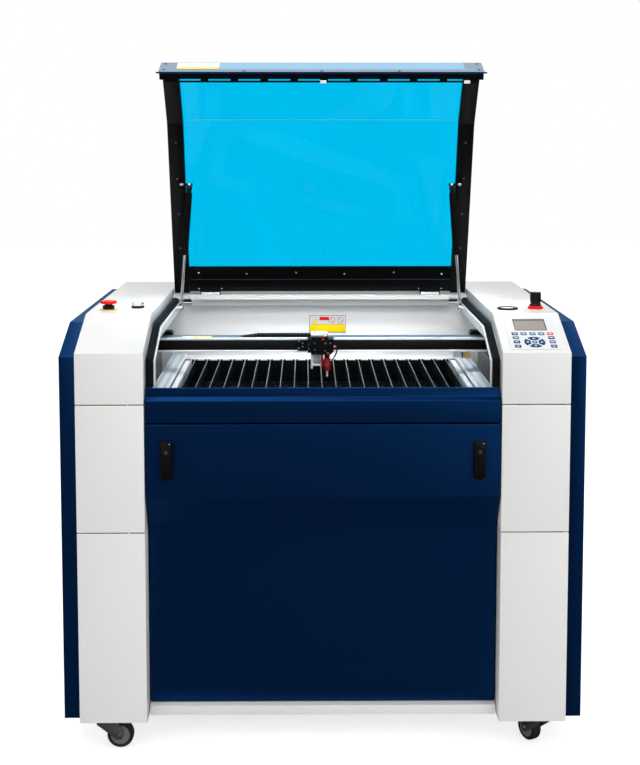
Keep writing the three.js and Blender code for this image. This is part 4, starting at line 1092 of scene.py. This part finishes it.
def rear_details():
    refined("exhaust_collar", 0.8)
    refined("mains_inlet", 1.2, 3)
    louvres = []
    for x in (-330, 330):
        for k in range(9):
            louvres.append(moved(block(170, 13, 5, 2.2), on_back(x, 330 + 26 * k, 895.4) @ tilt(-28, "X")))
    piece("rear_louvres", louvres, "root", "navy_paint")
    edge = [on_back(x, z) for x in (-545, 545) for z in range(110, 931, 136)]
    edge += [on_back(x, z) for x in (-330, -110, 110, 330) for z in (100, 930)]
    screws("rear_screws", edge, "root", 4.4, 2.2)
    bead = lathe([(75, 34), (77, 35), (77.6, 37), (77, 39), (75, 40)], 72, 0.4)
    single("collar_bead", bead, on_back(0, COLLAR_Z), "root", "bare_aluminium")
    flange = [on_back(83 * cos(turn), COLLAR_Z + 83 * sin(turn), 899.4)
        for turn in (pi / 4 + pi / 2 * k for k in range(4))]
    screws("collar_screws", flange, "root", 3.0, 1.6)
    pins = [moved(block(2, 4.4, 6, 0.4), on_back(INLET_X + dx, INLET_Z + dz, BACK + 6))
        for dx, dz in ((-7, -2), (7, -2), (0, 3))]
    piece("inlet_pins", pins, "root", "chrome")
    screws("inlet_screws", [on_back(INLET_X + dx, INLET_Z, BACK + 9) for dx in (-23, 23)], "root", 2.4, 1.2)
    plate = slab(rectangle(110, 62, 3), 0, 0.6, 0.2)
    single("rear_plate", plate, on_back(INLET_X, 262), "root", "bare_aluminium")
    lock_places = []
    for _, side in SIDES:
        spots = [(y, z) for y in (110, 450, 810) for z in (170, 820)]
        lock_places += [flat(side * 599.9, y, z) @ face_side(side) for y, z in spots]
    locks = [moved(lathe([(0, 0), (9, 0), (9, 1.2), (7.4, 2.2), (0, 2.2)], 40, 0.4), spot)
        for spot in lock_places]
    piece("panel_locks", locks, "root", "zinc_steel")
    slots = [moved(block(1.6, 11, 0.5, 0.15), spot @ shift(0, 0, 2.3)) for spot in lock_places]
    piece("lock_slots", slots, "root", "black_plastic")
    fins = []
    for _, side in SIDES:
        for k in range(7):
            centre = at(side * 600.6, 640, 250 + 24 * k)
            fins.append(moved(block(4, 190, 11, 1.8), Matrix.Translation(centre)
                @ Matrix.Rotation(side * radians(24), 4, "Y")))
    piece("side_louvres", fins, "root", "navy_paint")


def inner_machinery():
    refined("tube_shelf", 0.8)
    refined("power_supply", 0.8)


# ---- build

def build():
    cabinet()
    stop_button()
    start_button()
    selector_switch()
    keypad()
    deck_fittings()
    lid_details()
    gas_struts()
    lid_seals()
    chamber_details()
    gantry()
    head()
    lens()
    lift_table()
    door_latches()
    casters()
    rear_details()
    inner_machinery()
    repaint_frame()


build()


# ---- studio

def area_light(name, location, target, size, energy, spread=180):
    data = bpy.data.lights.new(name, "AREA")
    data.shape = "RECTANGLE"
    data.size, data.size_y = size
    data.energy = energy
    data.spread = radians(spread)
    light = bpy.data.objects.new(name, data)
    light.visible_camera = False
    light.visible_glossy = spread == 180
    light.location = location
    light.rotation_euler = (Vector(target) - Vector(location)).to_track_quat("-Z", "Y").to_euler()
    show(light)


FILL_LIGHT = 0.42
FLOOR_GLOW = 0.66
FLOOR_IN_GLOSS = (0.10, 0.10, 0.10, 1.0)


def floor_finish():
    """A pale floor that glossy reflections meet as a darker one, as with black cards beside a product."""
    made = surface("floor_finish", (0.9, 0.9, 0.9), 0.6, mottle=0.01, scale=40.0)
    tree = made.node_tree
    shader = tree.nodes["Principled BSDF"]
    shader.inputs["Emission Color"].default_value = (1, 1, 1, 1)
    rays = add(tree, "ShaderNodeLightPath")
    lift = add(tree, "ShaderNodeMath", {1: FLOOR_GLOW}, operation="MULTIPLY")
    tree.links.new(rays.outputs["Is Camera Ray"], lift.inputs[0])
    tree.links.new(lift.outputs[0], shader.inputs["Emission Strength"])
    dark = add(tree, "ShaderNodeBsdfDiffuse", {"Color": FLOOR_IN_GLOSS})
    choice = add(tree, "ShaderNodeMixShader")
    tree.links.new(rays.outputs["Is Glossy Ray"], choice.inputs[0])
    tree.links.new(shader.outputs[0], choice.inputs[1])
    tree.links.new(dark.outputs[0], choice.inputs[2])
    tree.links.new(choice.outputs[0], tree.nodes["Material Output"].inputs["Surface"])
    return made


def make_floor():
    bm = bmesh.new()
    bmesh.ops.create_grid(bm, x_segments=8, y_segments=8, size=15.0)
    mesh = bpy.data.meshes.new("studio_floor")
    bm.to_mesh(mesh)
    bm.free()
    mesh.materials.append(floor_finish())
    floor = bpy.data.objects.new("studio_floor", mesh)
    show(floor)


def make_world():
    """White behind the object, a bright sky panel in its gloss and an even fill for its shadows."""
    world = bpy.data.worlds.new("studio")
    world.use_nodes = True
    tree = world.node_tree
    link = tree.links.new
    background = tree.nodes["Background"]
    background.inputs["Color"].default_value = (1, 1, 1, 1)
    rays = add(tree, "ShaderNodeLightPath")
    place = add(tree, "ShaderNodeTexCoord")
    split = add(tree, "ShaderNodeSeparateXYZ")
    sky = add(tree, "ShaderNodeMapRange", {"From Min": 0.0, "From Max": 0.8, "To Min": 0.22,
        "To Max": 1.15})
    glossy = add(tree, "ShaderNodeMix", {2: FILL_LIGHT})
    open_view = add(tree, "ShaderNodeMath", operation="MAXIMUM")
    seen = add(tree, "ShaderNodeMix", {3: 1.0})
    link(place.outputs["Generated"], split.inputs[0])
    link(split.outputs["Z"], sky.inputs["Value"])
    link(rays.outputs["Is Glossy Ray"], glossy.inputs[0])
    link(sky.outputs[0], glossy.inputs[3])
    link(rays.outputs["Is Camera Ray"], open_view.inputs[0])
    link(rays.outputs["Is Transmission Ray"], open_view.inputs[1])
    link(open_view.outputs[0], seen.inputs[0])
    link(glossy.outputs[0], seen.inputs[2])
    link(seen.outputs[0], background.inputs["Strength"])
    bpy.context.scene.world = world


def make_studio():
    make_floor()
    make_world()
    area_light("overhead", (0.0, -1.0, 3.8), (0, -0.1, 0.8), (3.4, 2.4), 56)
    area_light("front_left", (-2.6, -3.4, 2.4), (0, 0, 0.8), (2.6, 2.6), 32)
    area_light("front_right", (2.6, -3.4, 2.4), (0, 0, 0.8), (2.6, 2.6), 43)
    area_light("chamber", (0.0, -0.42, 1.5), (0, 0.25, 0.90), (1.0, 0.12), 0.6, 75)
    area_light("bed", (0.0, -0.30, 1.72), (0, -0.08, 0.84), (0.7, 0.10), 2.0, 50)
    area_light("behind", (0.0, 3.0, 3.0), (0, 0, 0.9), (3.0, 1.6), 18)
    bpy.context.scene.view_settings.view_transform = "Standard"


make_studio()
